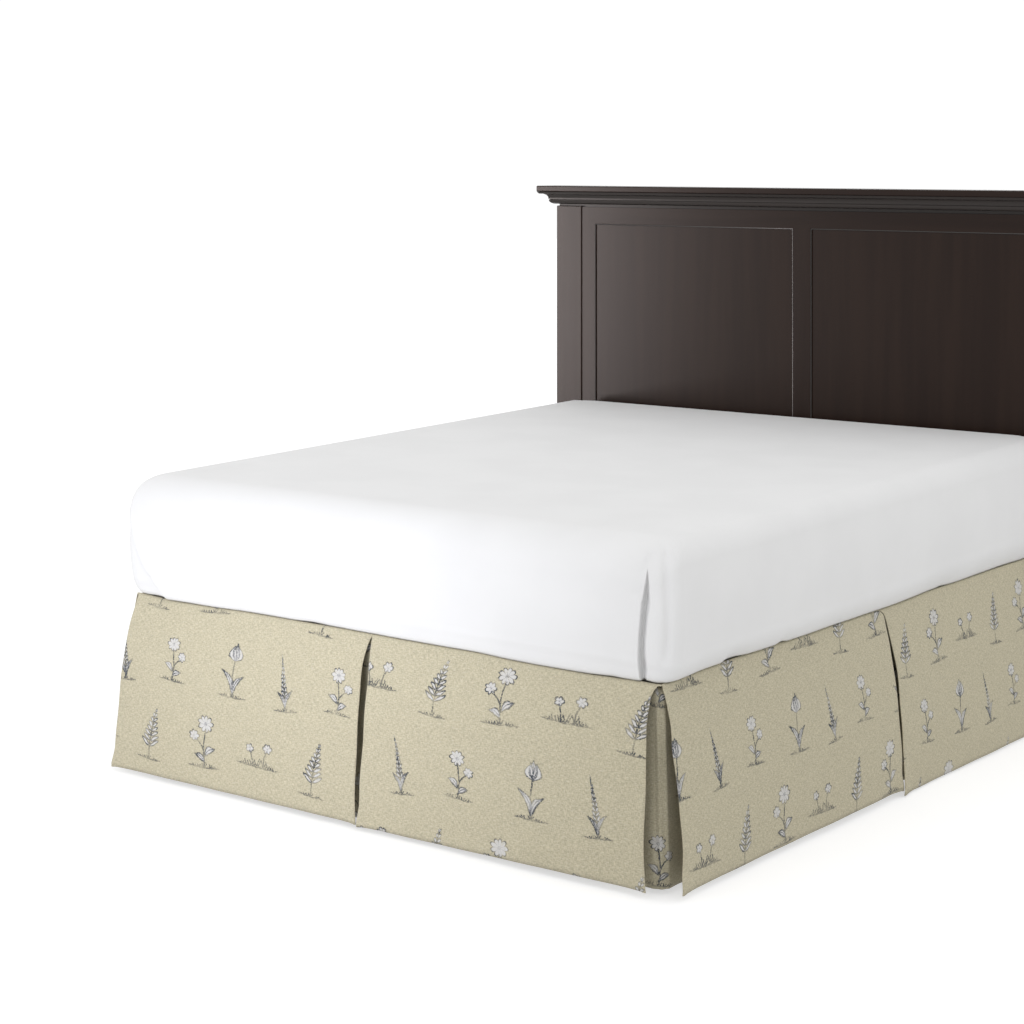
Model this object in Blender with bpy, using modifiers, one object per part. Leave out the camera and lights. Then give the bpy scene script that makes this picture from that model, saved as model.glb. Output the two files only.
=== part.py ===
"""A tailored bed skirt with inverted pleats, on a plain bed with a panelled headboard.

The skirt is one flat deck that lies between the box spring and the mattress, six outer panels that
are sewn to the deck's rim and fall to the floor, and an underlay behind each opening: one behind the
middle of the foot and of each side, and one bent round each foot corner. The mattress wears a smooth
sheet with a folded corner at each foot corner. Metres, +Z up, foot towards -Y, head towards +Y.
"""

import math
from collections import namedtuple

import bmesh
import bpy
from mathutils import Vector

# ---- Driving dimensions --------------------------------------------------------------------------

BED_WIDTH = 1.524
BED_LENGTH = 2.032
BOX_TOP = 0.430
BOX_HEIGHT = 0.190
MATTRESS_TOP = 0.7485
MATTRESS_OVERHANG = 0.025
HEADBOARD_WIDTH = 1.730
CAP_TOP = 1.4425

GAP = 0.0003
CLOTH = 0.0020
SHEET_CLOTH = 0.0015
SHEET_CLEARANCE = 0.0020

HALF_WIDTH = BED_WIDTH / 2
HALF_LENGTH = BED_LENGTH / 2

# Skirt: how the cloth turns over the box spring's rim, and how far off the floor it ends
PANEL_ROLL = 0.022
NEST = CLOTH + 0.0010
UNDERLAY_ROLL = PANEL_ROLL - NEST
BOX_ROLL = UNDERLAY_ROLL - NEST
ROLL_CENTER_Z = BOX_TOP - BOX_ROLL
LIP_LENGTH = 0.034
HEM_HEIGHT = 0.012
HEAD_SETBACK = 0.004
MITRE_GAP = 0.0008
KICK_REACH = 0.050
KICK_HEIGHT = 0.045
UNDERLAY_WING = 0.110
UNDERLAY_FLARE = 0.006
UNDERLAY_SHOULDER = 1.5
UNDERLAY_TURN = 80.0
DROP_SPACING = 1.25
COLUMN_EASE = 0.55
WAVE_HALVES = 3.0
WAVE_LIFT = 0.4

# Outer panels. start and end are places along the bed's edge at the deck, from the middle of that
# edge; swing is how far each end has moved along it at the hem; flare is how far the hem stands out;
# shoulder is how soon the cloth reaches that flare; kick is how far a free corner turns out at the
# hem; rise lifts the hem; wave and phase are the height and start of its gentle waves.
Panel = namedtuple("Panel", "name side start end swing_start swing_end flare_start flare_end "
                            "shoulder kick_start kick_end rise_start rise_end wave phase")
PANELS = (
    Panel("skirt_panel_foot_left", "foot", -0.752, -0.001, -0.043, -0.023, 0.047, 0.046,
          5.0, 0.005, 0.004, -0.001, 0.000, 0.0018, 0.4),
    Panel("skirt_panel_foot_right", "foot", 0.001, 0.752, -0.014, -0.005, 0.048, 0.047,
          5.0, 0.004, 0.003, -0.003, 0.005, 0.0022, 2.0),
    Panel("skirt_panel_right_foot", "right", -1.014, -0.001, 0.003, 0.003, 0.049, 0.049,
          1.7, 0.005, 0.007, 0.002, 0.005, 0.0022, 1.1),
    Panel("skirt_panel_right_head", "right", 0.001, 1.012, 0.019, 0.002, 0.053, 0.050,
          1.7, 0.005, 0.000, -0.006, -0.005, 0.0024, 3.0),
    Panel("skirt_panel_left_foot", "left", -1.014, -0.001, 0.002, -0.004, 0.050, 0.049,
          1.9, 0.005, 0.006, 0.000, 0.002, 0.0022, 5.2),
    Panel("skirt_panel_left_head", "left", 0.001, 1.012, 0.010, 0.001, 0.052, 0.048,
          1.9, 0.005, 0.000, -0.003, -0.001, 0.0020, 0.9),
)

# Each edge of the bed that the skirt covers: the direction along it, the direction out of it, how
# far out it stands, and how far along it the foot corners are.
Edge = namedtuple("Edge", "along out reach corner")
EDGES = {
    "foot": Edge(Vector((1, 0, 0)), Vector((0, -1, 0)), HALF_LENGTH, HALF_WIDTH),
    "right": Edge(Vector((0, 1, 0)), Vector((1, 0, 0)), HALF_WIDTH, HALF_LENGTH),
    "left": Edge(Vector((0, 1, 0)), Vector((-1, 0, 0)), HALF_WIDTH, HALF_LENGTH),
}

# Mattress and sheet
MATTRESS_BOTTOM = BOX_TOP + GAP + CLOTH + GAP
MATTRESS_HALF_WIDTH = HALF_WIDTH + MATTRESS_OVERHANG
MATTRESS_HALF_LENGTH = HALF_LENGTH + 0.008
MATTRESS_CORNER = 0.048
MATTRESS_BULGE = 0.006
MATTRESS_LEAN = 0.018
BOTTOM_RADIUS = 0.060
SIDE_TOP_RADIUS = 0.052
FOOT_TOP_RADIUS = 0.100
TUCK_ANGLE = 37.0
FOLD_HEIGHT = 0.0045
FOLD_STEP = 0.004
RIGHT_FOLD_INSET = 0.066
RIGHT_FOLD_BOW = 0.010
LEFT_FOLD_INSET = 0.098
LEFT_FOLD_RUN = 0.042
LEFT_FOLD_TOP = 0.65
FOLD_FADE = (0.57, 0.72)

# Headboard
HEADBOARD_FRONT = HALF_LENGTH + 0.015
POST_WIDTH = 0.0942
POST_DEPTH = 0.070
FRAME_SETBACK = 0.004
FRAME_DEPTH = 0.034
STILE_WIDTH = 0.0485
MULLION_WIDTH = 0.057
RAIL_TOP = 1.3785
PANEL_TOP = 1.3235
PANEL_FOOT = 0.560
LOWER_RAIL_FOOT = 0.440
MOUNT_RAIL = (0.170, 0.290)
PANEL_SETBACK = 0.012
PANEL_THICKNESS = 0.014
BEAD_WIDTH = 0.0085
BEAD_SETBACK = 0.006
JOINERY_BEVEL = 0.0012
CAP_OVERHANG = 0.047
# Crown moulding below the cap, bottom to top: how far it stands out from the post, and its height
CROWN_PROFILE = (
    (0.0005, RAIL_TOP + GAP), (0.0075, 1.3834), (0.0135, 1.3865), (0.0162, 1.3905), (0.0165, 1.3940),
    (0.0150, 1.3980), (0.0195, 1.4010), (0.0205, 1.4055), (0.0245, 1.4110), (0.0302, 1.4150),
    (0.0390, 1.4180), (0.0410, 1.4233),
)

# Bed frame under the box spring
RAIL_SECTION = (0.040, 0.050)
CROSS_SECTION = (0.040, 0.040)
PLATE_WIDTH = 0.064
PLATE_DROP = 0.010
RAIL_X = 0.690
RAIL_END_Y = 0.980
CROSS_PLACES = (-0.900, 0.0, 0.860)
LEG_RADIUS = 0.022
LEG_FOOT_RADIUS = 0.030
LEG_FOOT_HEIGHT = 0.012
LEG_FLARE = 0.004

LINEN = ("linen", (0.69, 0.65, 0.51, 1.0), 0.9, 0.0)
LINEN_SHADE = ("linen underlay", (0.62, 0.58, 0.45, 1.0), 0.9, 0.0)
DECK_CLOTH = ("deck cloth", (0.82, 0.80, 0.74, 1.0), 0.9, 0.0)
SHEET_WHITE = ("white sheet", (0.93, 0.93, 0.93, 1.0), 0.8, 0.0)
TICKING = ("mattress ticking", (0.88, 0.87, 0.84, 1.0), 0.85, 0.0)
BOX_CLOTH = ("box spring cloth", (0.78, 0.77, 0.74, 1.0), 0.9, 0.0)
DARK_WOOD = ("dark stained wood", (0.060, 0.045, 0.042, 1.0), 0.38, 0.0)
FRAME_STEEL = ("frame steel", (0.05, 0.05, 0.055, 1.0), 0.45, 0.8)


# ---- Shared helpers ------------------------------------------------------------------------------

def clear_scene():
    """Remove every object, so that the model starts from an empty scene."""
    for item in list(bpy.data.objects):
        bpy.data.objects.remove(item, do_unlink=True)


def make_material(name, color, roughness, metallic):
    """A plain Principled material."""
    material = bpy.data.materials.new(name)
    material.use_nodes = True
    shader = material.node_tree.nodes["Principled BSDF"]
    shader.inputs["Base Color"].default_value = color
    shader.inputs["Roughness"].default_value = roughness
    shader.inputs["Metallic"].default_value = metallic
    return material


def add_part(name, bm, finish, parent):
    """Turn a bmesh into a named object with its own material, parented to the bed's centre."""
    mesh = bpy.data.meshes.new(name)
    bm.to_mesh(mesh)
    bm.free()
    mesh.materials.append(make_material(f"{name} {finish[0]}", *finish[1:]))
    part = bpy.data.objects.new(name, mesh)
    part.parent = parent
    parent.users_collection[0].objects.link(part)
    return part


def thicken(part, thickness):
    """Give an open cloth surface its thickness, inwards from its outer face."""
    solidify = part.modifiers.new("Thickness", "SOLIDIFY")
    solidify.thickness = thickness
    solidify.offset = -1.0
    solidify.use_even_offset = True


def soften(part, width, segments=2):
    """Round the edges of a hard piece."""
    bevel = part.modifiers.new("Rounded edges", "BEVEL")
    bevel.width = width
    bevel.segments = segments
    bevel.limit_method = "ANGLE"


def block(name, low, high, finish, parent, bevel=0.0, segments=2):
    """A rectangular piece between two corners."""
    bm = bmesh.new()
    bmesh.ops.create_cube(bm, size=1.0)
    low, high = Vector(low), Vector(high)
    bmesh.ops.scale(bm, vec=high - low, verts=bm.verts)
    bmesh.ops.translate(bm, vec=(low + high) / 2, verts=bm.verts)
    part = add_part(name, bm, finish, parent)
    if bevel:
        soften(part, bevel, segments)
    return part


def mix(first, last, share):
    """The value that lies share of the way from first to last."""
    return first + (last - first) * share


def smooth(value):
    """A soft step from 0 to 1."""
    value = min(max(value, 0.0), 1.0)
    return value * value * (3.0 - 2.0 * value)


def cloth_surface(name, columns, rows, place, finish, parent, thickness=CLOTH):
    """A grid of cloth: place(column share, row number) gives each point, left to right, top to hem."""
    bm = bmesh.new()
    bmesh.ops.create_grid(bm, x_segments=columns, y_segments=rows, size=1.0)
    for vert in bm.verts:
        share = (vert.co.x + 1.0) / 2.0
        row = round((1.0 - vert.co.y) / 2.0 * rows)
        vert.co = place(share, row)
    part = add_part(name, bm, finish, parent)
    thicken(part, thickness)
    return part


def loft(rings, cap_start, cap_end):
    """Join closed rings of points, one after the other, by extruding the first ring's edge."""
    bm = bmesh.new()
    verts = [bm.verts.new(point) for point in rings[0]]
    edges = [bm.edges.new((vert, verts[(index + 1) % len(verts)])) for index, vert in enumerate(verts)]
    if cap_start:
        bmesh.ops.contextual_create(bm, geom=edges)
    for ring in rings[1:]:
        grown = bmesh.ops.extrude_edge_only(bm, edges=edges)["geom"]
        edges = [item for item in grown if isinstance(item, bmesh.types.BMEdge)
                 and all(vert not in verts for vert in item.verts)]
        matched = []
        for vert in verts:
            matched.append(next(edge.other_vert(vert) for edge in vert.link_edges
                                if edge.other_vert(vert) not in verts
                                and edge.other_vert(vert) in grown))
        verts = matched
        for vert, point in zip(verts, ring):
            vert.co = point
    if cap_end:
        bmesh.ops.contextual_create(bm, geom=edges)
    bmesh.ops.recalc_face_normals(bm, faces=bm.faces)
    return bm


# ---- Skirt ---------------------------------------------------------------------------------------

def fall_profile(roll, flare, shoulder, first_angle, drop_rows, hem):
    """Points (out, height) of a cloth's outer face, from its turn over the box spring to its hem."""
    top = ROLL_CENTER_Z + roll
    drop = top - hem
    points = []
    for step in range(4):
        angle = math.radians(mix(first_angle, 0.0, step / 4))
        points.append((roll * math.cos(angle) - PANEL_ROLL, ROLL_CENTER_Z + roll * math.sin(angle)))
    for step in range(drop_rows + 1):
        depth = mix(roll, drop, (step / drop_rows) ** DROP_SPACING)
        points.append((roll - PANEL_ROLL, top - depth))
    return [(out + flare * (1.0 - (1.0 - (top - z) / drop) ** shoulder), z) for out, z in points]


def smooth_fall(z):
    """How far down the fall a height is, from 0 at the turn to 1 at the hem."""
    return min(max((ROLL_CENTER_Z - z) / (ROLL_CENTER_Z - HEM_HEIGHT), 0.0), 1.0)


def end_place(panel, edge, at_start, fall, out):
    """Where a panel's end stands along the bed's edge, at a share of the fall and a distance out."""
    top_place = panel.start if at_start else panel.end
    swing = panel.swing_start if at_start else panel.swing_end
    place = top_place + swing * fall
    at_corner = abs(abs(top_place) - edge.corner) < PANEL_ROLL and (at_start or edge.corner == HALF_WIDTH)
    if not at_corner:
        return place
    limit = edge.corner + out - MITRE_GAP
    return max(min(place, limit), -limit)


def make_panel(panel, parent):
    """One outer panel of the skirt, flared and gently waved at its hem."""
    edge = EDGES[panel.side]
    top = ROLL_CENTER_Z + PANEL_ROLL
    lip = [(-LIP_LENGTH, BOX_TOP + GAP + CLOTH), (mix(-LIP_LENGTH, -PANEL_ROLL, 0.6), top - 0.0010)]
    ends = [lip + fall_profile(PANEL_ROLL, flare, panel.shoulder, 90.0, 8, HEM_HEIGHT + rise)
            for flare, rise in ((panel.flare_start, panel.rise_start), (panel.flare_end, panel.rise_end))]

    def place(share, row):
        spread = mix(share, 0.5 - 0.5 * math.cos(math.pi * share), COLUMN_EASE)
        out_start, out_end = (profile[row][0] for profile in ends)
        z = mix(ends[0][row][1], ends[1][row][1], spread)
        fall = smooth_fall(z)
        low = end_place(panel, edge, True, fall, out_start)
        high = end_place(panel, edge, False, fall, out_end)
        along = mix(low, high, spread)
        near_hem = smooth(1.0 - (z - HEM_HEIGHT) / KICK_HEIGHT)
        kick_low = near_hem * panel.kick_start * smooth(1.0 - (along - low) / KICK_REACH)
        kick_high = near_hem * panel.kick_end * smooth(1.0 - (high - along) / KICK_REACH)
        wave = panel.wave * fall * math.sin(panel.phase + WAVE_HALVES * math.pi * spread)
        out = mix(out_start, out_end, spread) + wave + kick_low + kick_high
        along += kick_high - kick_low
        z += WAVE_LIFT * wave * fall
        return edge.along * along + edge.out * (edge.reach + out) + Vector((0, 0, z))

    part = cloth_surface(panel.name, 14, len(ends[0]) - 1, place, LINEN, parent)
    if panel.side == "left":
        part.data.flip_normals()
    return part


def make_straight_underlay(name, side, parent):
    """The cloth behind the opening in the middle of one edge."""
    edge = EDGES[side]
    profile = fall_profile(UNDERLAY_ROLL, UNDERLAY_FLARE, UNDERLAY_SHOULDER, UNDERLAY_TURN, 5, HEM_HEIGHT)

    def place(share, row):
        out, z = profile[row]
        along = mix(-UNDERLAY_WING, UNDERLAY_WING, share)
        return edge.along * along + edge.out * (edge.reach + out) + Vector((0, 0, z))

    part = cloth_surface(name, 4, len(profile) - 1, place, LINEN_SHADE, parent)
    if side == "left":
        part.data.flip_normals()
    return part


def make_corner_underlay(name, hand, parent):
    """The cloth bent round one foot corner, behind the opening there; hand is +1 right, -1 left."""
    profile = fall_profile(UNDERLAY_ROLL, UNDERLAY_FLARE, UNDERLAY_SHOULDER, UNDERLAY_TURN, 5, HEM_HEIGHT)
    turn_points, wing_points = 6, 2
    center = Vector((HALF_WIDTH - PANEL_ROLL, -HALF_LENGTH + PANEL_ROLL, 0))

    def place(share, row):
        out, z = profile[row]
        position = share * (turn_points + 2 * wing_points)
        radius = PANEL_ROLL + out
        turned = min(max(position - wing_points, 0.0), turn_points) / turn_points
        angle = math.radians(-90.0 + 90.0 * turned)
        ray = Vector((math.cos(angle), math.sin(angle), 0))
        point = center + ray * radius
        wing = UNDERLAY_WING / wing_points
        point.x -= max(wing_points - position, 0.0) * wing
        point.y += max(position - wing_points - turn_points, 0.0) * wing
        return Vector((hand * point.x, point.y, z))

    part = cloth_surface(name, turn_points + 2 * wing_points, len(profile) - 1, place, LINEN_SHADE, parent)
    if hand < 0:
        part.data.flip_normals()
    return part


def make_skirt(parent):
    """The deck, the six outer panels and the five underlays."""
    reach_x = HALF_WIDTH - LIP_LENGTH - GAP
    reach_y = HALF_LENGTH - LIP_LENGTH - GAP
    block("skirt_deck", (-reach_x, -reach_y, BOX_TOP + GAP),
          (reach_x, HALF_LENGTH - HEAD_SETBACK, BOX_TOP + GAP + CLOTH), DECK_CLOTH, parent)
    for panel in PANELS:
        make_panel(panel, parent)
    make_straight_underlay("skirt_underlay_foot", "foot", parent)
    make_straight_underlay("skirt_underlay_right", "right", parent)
    make_straight_underlay("skirt_underlay_left", "left", parent)
    make_corner_underlay("skirt_underlay_corner_right", 1, parent)
    make_corner_underlay("skirt_underlay_corner_left", -1, parent)


# ---- Mattress and sheet --------------------------------------------------------------------------

def foot_share(normal):
    """How far a side direction faces the foot, from 0 to 1."""
    return max(-normal.y, 0.0) ** 2


def side_levels():
    """Levels up the side: (kind, angle or share), from the sheet's tucked edge to the flat top."""
    levels = [("bottom", angle) for angle in (TUCK_ANGLE, mix(TUCK_ANGLE, 90.0, 0.5), 90.0)]
    levels += [("side", share) for share in (0.25, 0.5, 0.75)]
    return levels + [("top", angle) for angle in (0.0, 22.5, 45.0, 67.5, 90.0)]


def level_shape(level, grow, top_radius):
    """Inset from the mattress's widest outline, and height, of a skin that stands grow outside it."""
    kind, amount = level
    low, high = MATTRESS_BOTTOM + BOTTOM_RADIUS, MATTRESS_TOP - top_radius
    if kind == "side":
        return -grow - MATTRESS_BULGE * math.sin(math.pi * amount), mix(low, high, amount)
    angle = math.radians(amount)
    if kind == "bottom":
        reach = BOTTOM_RADIUS + grow
        return BOTTOM_RADIUS - reach * math.sin(angle), low - reach * math.cos(angle)
    reach = top_radius + grow
    return top_radius - reach * math.cos(angle), high + reach * math.sin(angle)


def soft_ring(level, grow, foot_places):
    """Points round the mattress's skin at one level, from the foot's left end, with directions."""
    side_inset, side_z = level_shape(level, grow, SIDE_TOP_RADIUS)
    foot_inset, foot_z = level_shape(level, grow, FOOT_TOP_RADIUS)
    half_x = MATTRESS_HALF_WIDTH - side_inset
    foot_y = -MATTRESS_HALF_LENGTH + foot_inset
    head_y = HALF_LENGTH - side_inset
    corner = max(MATTRESS_CORNER - 0.5 * side_inset, 0.020)
    down = Vector((0, -1, 0))
    rise = (side_z - MATTRESS_BOTTOM) / (MATTRESS_TOP - MATTRESS_BOTTOM)
    fit = min(1.0, (half_x - corner - 0.002) / max(abs(x) for x in foot_places))
    ring = [(Vector((x * fit, foot_y, foot_z)), down) for x in foot_places]
    for index, (sign_x, end_y, start) in enumerate(((1, foot_y, -90), (1, head_y, 0),
                                                    (-1, head_y, 90), (-1, foot_y, 180))):
        inward = 1 if end_y == foot_y else -1
        center = Vector((sign_x * (half_x - corner), end_y + inward * corner, 0))
        for step in range(5):
            angle = math.radians(start + 22.5 * step)
            ray = Vector((math.cos(angle), math.sin(angle), 0))
            point = center + ray * corner
            point.z = mix(side_z, foot_z, foot_share(ray))
            ring.append((point, ray))
        if index < 3:
            run_length = 2 * (half_x - corner) if index == 1 else head_y - foot_y - 2 * corner
            count = 3 if index == 1 else 6
            point, ray = ring[-1]
            run = Vector((-ray.y, ray.x, 0)) * run_length
            ring += [(point + run * step / count, ray) for step in range(1, count)]
    for point, _ in ring:
        point.z += MATTRESS_LEAN * rise * point.y / HALF_LENGTH
    return ring


def make_mattress(parent):
    """The filled mattress, flat underneath and on top, with soft edges."""
    limit = MATTRESS_HALF_WIDTH - 2.0 * MATTRESS_CORNER
    foot_places = [mix(-limit, limit, step / 5) for step in range(6)]
    rings = [[point for point, _ in soft_ring(level, 0.0, foot_places)]
             for level in (("bottom", 0.0), *side_levels())]
    add_part("mattress", loft(rings, True, True), TICKING, parent)


def fold_edges(height):
    """Where the two folded corners end on the foot face, at a share of the mattress's height."""
    right = MATTRESS_HALF_WIDTH - RIGHT_FOLD_INSET + RIGHT_FOLD_BOW * (2.0 * height - 0.9) ** 2
    left = -MATTRESS_HALF_WIDTH + LEFT_FOLD_INSET - LEFT_FOLD_RUN * min(height / LEFT_FOLD_TOP, 1.0)
    return left, right


def make_sheet(parent):
    """The sheet over the mattress, tucked under its lower edge, with its corners folded at the foot."""
    rings = []
    for level in side_levels():
        middle_z = level_shape(level, 0.0, FOOT_TOP_RADIUS)[1]
        height = (middle_z - MATTRESS_BOTTOM) / (MATTRESS_TOP - MATTRESS_BOTTOM)
        left, right = fold_edges(height)
        inner = [mix(left, right, step / 7) for step in range(1, 7)]
        places = [left - FOLD_STEP, left, *inner, right, right + FOLD_STEP]
        depth = FOLD_HEIGHT * smooth((FOLD_FADE[1] - height) / (FOLD_FADE[1] - FOLD_FADE[0]))
        ring = []
        for index, (point, ray) in enumerate(soft_ring(level, SHEET_CLEARANCE + SHEET_CLOTH, places)):
            folded = depth if 1 <= index <= 8 else 0.0
            if 2 < index < 7:
                folded *= 0.4
            ring.append(point + ray * folded)
        rings.append(ring)
    part = add_part("bed_sheet", loft(rings, False, True), SHEET_WHITE, parent)
    thicken(part, SHEET_CLOTH)


# ---- Box spring and frame ------------------------------------------------------------------------

def make_box_spring(parent):
    """The upholstered base that the skirt's deck lies on."""
    inset = PANEL_ROLL - BOX_ROLL
    block("box_spring", (-HALF_WIDTH + inset, -HALF_LENGTH + inset, BOX_TOP - BOX_HEIGHT),
          (HALF_WIDTH - inset, HALF_LENGTH - HEAD_SETBACK, BOX_TOP), BOX_CLOTH, parent, BOX_ROLL, 3)


def make_frame(parent):
    """Two side rails, three cross rails, six legs, and two plates that hold the headboard."""
    top = BOX_TOP - BOX_HEIGHT - GAP
    width, height = RAIL_SECTION
    for hand, sign in (("right", 1), ("left", -1)):
        middle = sign * RAIL_X
        block(f"frame_rail_{hand}", (middle - width / 2, -RAIL_END_Y, top - height),
              (middle + width / 2, RAIL_END_Y, top), FRAME_STEEL, parent, 0.003, 1)
        block(f"headboard_plate_{hand}",
              (middle - PLATE_WIDTH / 2, RAIL_END_Y + GAP, top - height - PLATE_DROP),
              (middle + PLATE_WIDTH / 2, HEADBOARD_FRONT + FRAME_SETBACK - GAP, top - GAP),
              FRAME_STEEL, parent, 0.002, 1)
        for place, y in zip(("foot", "middle", "head"), CROSS_PLACES):
            make_leg(f"frame_leg_{place}_{hand}", (middle, y, top - height - GAP), parent)
    reach = RAIL_X - width / 2 - GAP
    for place, y in zip(("foot", "middle", "head"), CROSS_PLACES):
        block(f"frame_cross_{place}", (-reach, y - CROSS_SECTION[0] / 2, top - CROSS_SECTION[1]),
              (reach, y + CROSS_SECTION[0] / 2, top), FRAME_STEEL, parent, 0.003, 1)


def make_leg(name, top, parent):
    """A round leg on a wider foot, turned from its profile."""
    x, y, height = top
    profile = ((0.0, height), (LEG_RADIUS, height), (LEG_RADIUS, LEG_FOOT_HEIGHT + LEG_FLARE),
               (LEG_FOOT_RADIUS, LEG_FOOT_HEIGHT), (LEG_FOOT_RADIUS, 0.0), (0.0, 0.0))
    bm = bmesh.new()
    verts = [bm.verts.new((radius, 0.0, z)) for radius, z in profile]
    for first, second in zip(verts, verts[1:]):
        bm.edges.new((first, second))
    part = add_part(name, bm, FRAME_STEEL, parent)
    part.location = (x, y, 0.0)
    screw = part.modifiers.new("Turned", "SCREW")
    screw.steps = 16
    screw.render_steps = 16
    screw.use_merge_vertices = True
    screw.merge_threshold = 0.00001
    return part


# ---- Headboard -----------------------------------------------------------------------------------

def stepped_block(sections):
    """A solid through rectangular sections (half width, front, back, height), from bottom to top."""
    rings = []
    for half, front, back, z in sections:
        rings.append([Vector((-half, front, z)), Vector((half, front, z)),
                      Vector((half, back, z)), Vector((-half, back, z))])
    return loft(rings, True, True)


def recessed_panel(name, low_x, high_x, parent):
    """A flat panel with a raised bead round it, set back in its frame."""
    front = HEADBOARD_FRONT + FRAME_SETBACK
    low = Vector((low_x + GAP, front + PANEL_SETBACK, PANEL_FOOT + GAP))
    high = Vector((high_x - GAP, front + PANEL_SETBACK + PANEL_THICKNESS, PANEL_TOP - GAP))
    bm = bmesh.new()
    bmesh.ops.create_cube(bm, size=1.0)
    bmesh.ops.scale(bm, vec=high - low, verts=bm.verts)
    bmesh.ops.translate(bm, vec=(low + high) / 2, verts=bm.verts)
    face = min(bm.faces, key=lambda item: item.calc_center_median().y)
    bmesh.ops.inset_region(bm, faces=[face], thickness=BEAD_WIDTH, depth=0.0)
    rim = [item for item in bm.faces if item is not face and item.normal.y < -0.9]
    lifted = bmesh.ops.extrude_face_region(bm, geom=rim)["geom"]
    verts = [item for item in lifted if isinstance(item, bmesh.types.BMVert)]
    bmesh.ops.translate(bm, vec=(0, -(PANEL_SETBACK - BEAD_SETBACK), 0), verts=verts)
    bmesh.ops.delete(bm, geom=rim, context="FACES_ONLY")
    bmesh.ops.recalc_face_normals(bm, faces=bm.faces)
    return add_part(name, bm, DARK_WOOD, parent)


def make_headboard(parent):
    """Two posts, a frame of rails and stiles round two panels, and a moulded crown under a cap."""
    half = HEADBOARD_WIDTH / 2
    inner = half - POST_WIDTH
    front = HEADBOARD_FRONT + FRAME_SETBACK
    back = front + FRAME_DEPTH
    post_back = HEADBOARD_FRONT + POST_DEPTH
    opening = inner - STILE_WIDTH
    for hand, sign in (("right", 1), ("left", -1)):
        near, far = sorted((sign * inner, sign * half))
        block(f"headboard_post_{hand}", (near, HEADBOARD_FRONT, 0.0), (far, post_back, RAIL_TOP),
              DARK_WOOD, parent, 0.002, 1)
        near, far = sorted((sign * opening, sign * (inner - GAP)))
        block(f"headboard_stile_{hand}", (near, front, MOUNT_RAIL[0]), (far, back, RAIL_TOP),
              DARK_WOOD, parent, JOINERY_BEVEL, 1)
    rail_reach = opening - GAP
    block("headboard_top_rail", (-rail_reach, front, PANEL_TOP), (rail_reach, back, RAIL_TOP),
          DARK_WOOD, parent, JOINERY_BEVEL, 1)
    block("headboard_lower_rail", (-rail_reach, front, LOWER_RAIL_FOOT), (rail_reach, back, PANEL_FOOT),
          DARK_WOOD, parent, JOINERY_BEVEL, 1)
    block("headboard_mount_rail", (-rail_reach, front, MOUNT_RAIL[0]), (rail_reach, back, MOUNT_RAIL[1]),
          DARK_WOOD, parent, JOINERY_BEVEL, 1)
    half_mullion = MULLION_WIDTH / 2
    block("headboard_mullion", (-half_mullion, front, PANEL_FOOT + GAP),
          (half_mullion, back, PANEL_TOP - GAP), DARK_WOOD, parent, JOINERY_BEVEL, 1)
    recessed_panel("headboard_panel_left", -opening, -half_mullion, parent)
    recessed_panel("headboard_panel_right", half_mullion, opening, parent)
    crown = [(half + out, HEADBOARD_FRONT - out, post_back, z) for out, z in CROWN_PROFILE]
    add_part("headboard_crown", stepped_block(crown), DARK_WOOD, parent)
    bottom = CROWN_PROFILE[-1][1] + GAP
    block("headboard_cap", (-half - CAP_OVERHANG, HEADBOARD_FRONT - CAP_OVERHANG, bottom),
          (half + CAP_OVERHANG, post_back, CAP_TOP), DARK_WOOD, parent, 0.003, 2)


# ---- Assembly ------------------------------------------------------------------------------------

def centre_on_origin(parent):
    """Move the whole bed so that the middle of its footprint is over the origin."""
    bpy.context.view_layer.update()
    depsgraph = bpy.context.evaluated_depsgraph_get()
    corners = [part.matrix_world @ Vector(corner)
               for part in (child.evaluated_get(depsgraph) for child in parent.children)
               for corner in part.bound_box]
    low = Vector(min(point[axis] for point in corners) for axis in range(3))
    high = Vector(max(point[axis] for point in corners) for axis in range(3))
    parent.location = (-(low.x + high.x) / 2, -(low.y + high.y) / 2, 0.0)
    bpy.context.view_layer.update()


def main():
    clear_scene()
    collection = bpy.data.collections.new("bed skirt on a bed")
    bpy.context.scene.collection.children.link(collection)
    centre = bpy.data.objects.new("bed_centre", None)
    collection.objects.link(centre)
    make_skirt(centre)
    make_mattress(centre)
    make_sheet(centre)
    make_box_spring(centre)
    make_frame(centre)
    make_headboard(centre)
    centre_on_origin(centre)


main()
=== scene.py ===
"""Cloth, sheet, mattress, wood and steel for a bed that wears a tailored skirt with inverted pleats.

The skirt's panels, underlays and deck, the sheet and the mattress are new pieces that stand for their
plain solids; the bed's hard parts keep their solids and get their finishes. Metres, +Z up, foot
towards -Y. Places are first worked out from the middle of the bed, and then moved into the frame.
"""

import math
from functools import partialmethod, reduce
from operator import or_

import bmesh
import bpy
from bpy.props import FloatProperty, FloatVectorProperty, PointerProperty
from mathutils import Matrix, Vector


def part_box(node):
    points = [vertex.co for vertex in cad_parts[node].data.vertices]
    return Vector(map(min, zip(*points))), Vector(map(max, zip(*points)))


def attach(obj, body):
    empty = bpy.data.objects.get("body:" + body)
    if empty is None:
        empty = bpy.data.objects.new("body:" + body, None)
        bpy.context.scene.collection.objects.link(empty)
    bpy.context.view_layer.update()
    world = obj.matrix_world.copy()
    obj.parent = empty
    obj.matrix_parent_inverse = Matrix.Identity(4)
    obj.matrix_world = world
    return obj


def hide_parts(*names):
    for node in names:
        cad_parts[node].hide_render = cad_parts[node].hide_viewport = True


bl_info = {
    "name": "Tailored bed skirt",
    "version": (1, 0, 0),
    "blender": (4, 5, 0),
    "location": "View3D > Sidebar > Bed skirt",
    "description": "Dresses a bed with a pleated, printed skirt, a folded sheet and a dark wooden headboard",
    "category": "Object",
}

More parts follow.
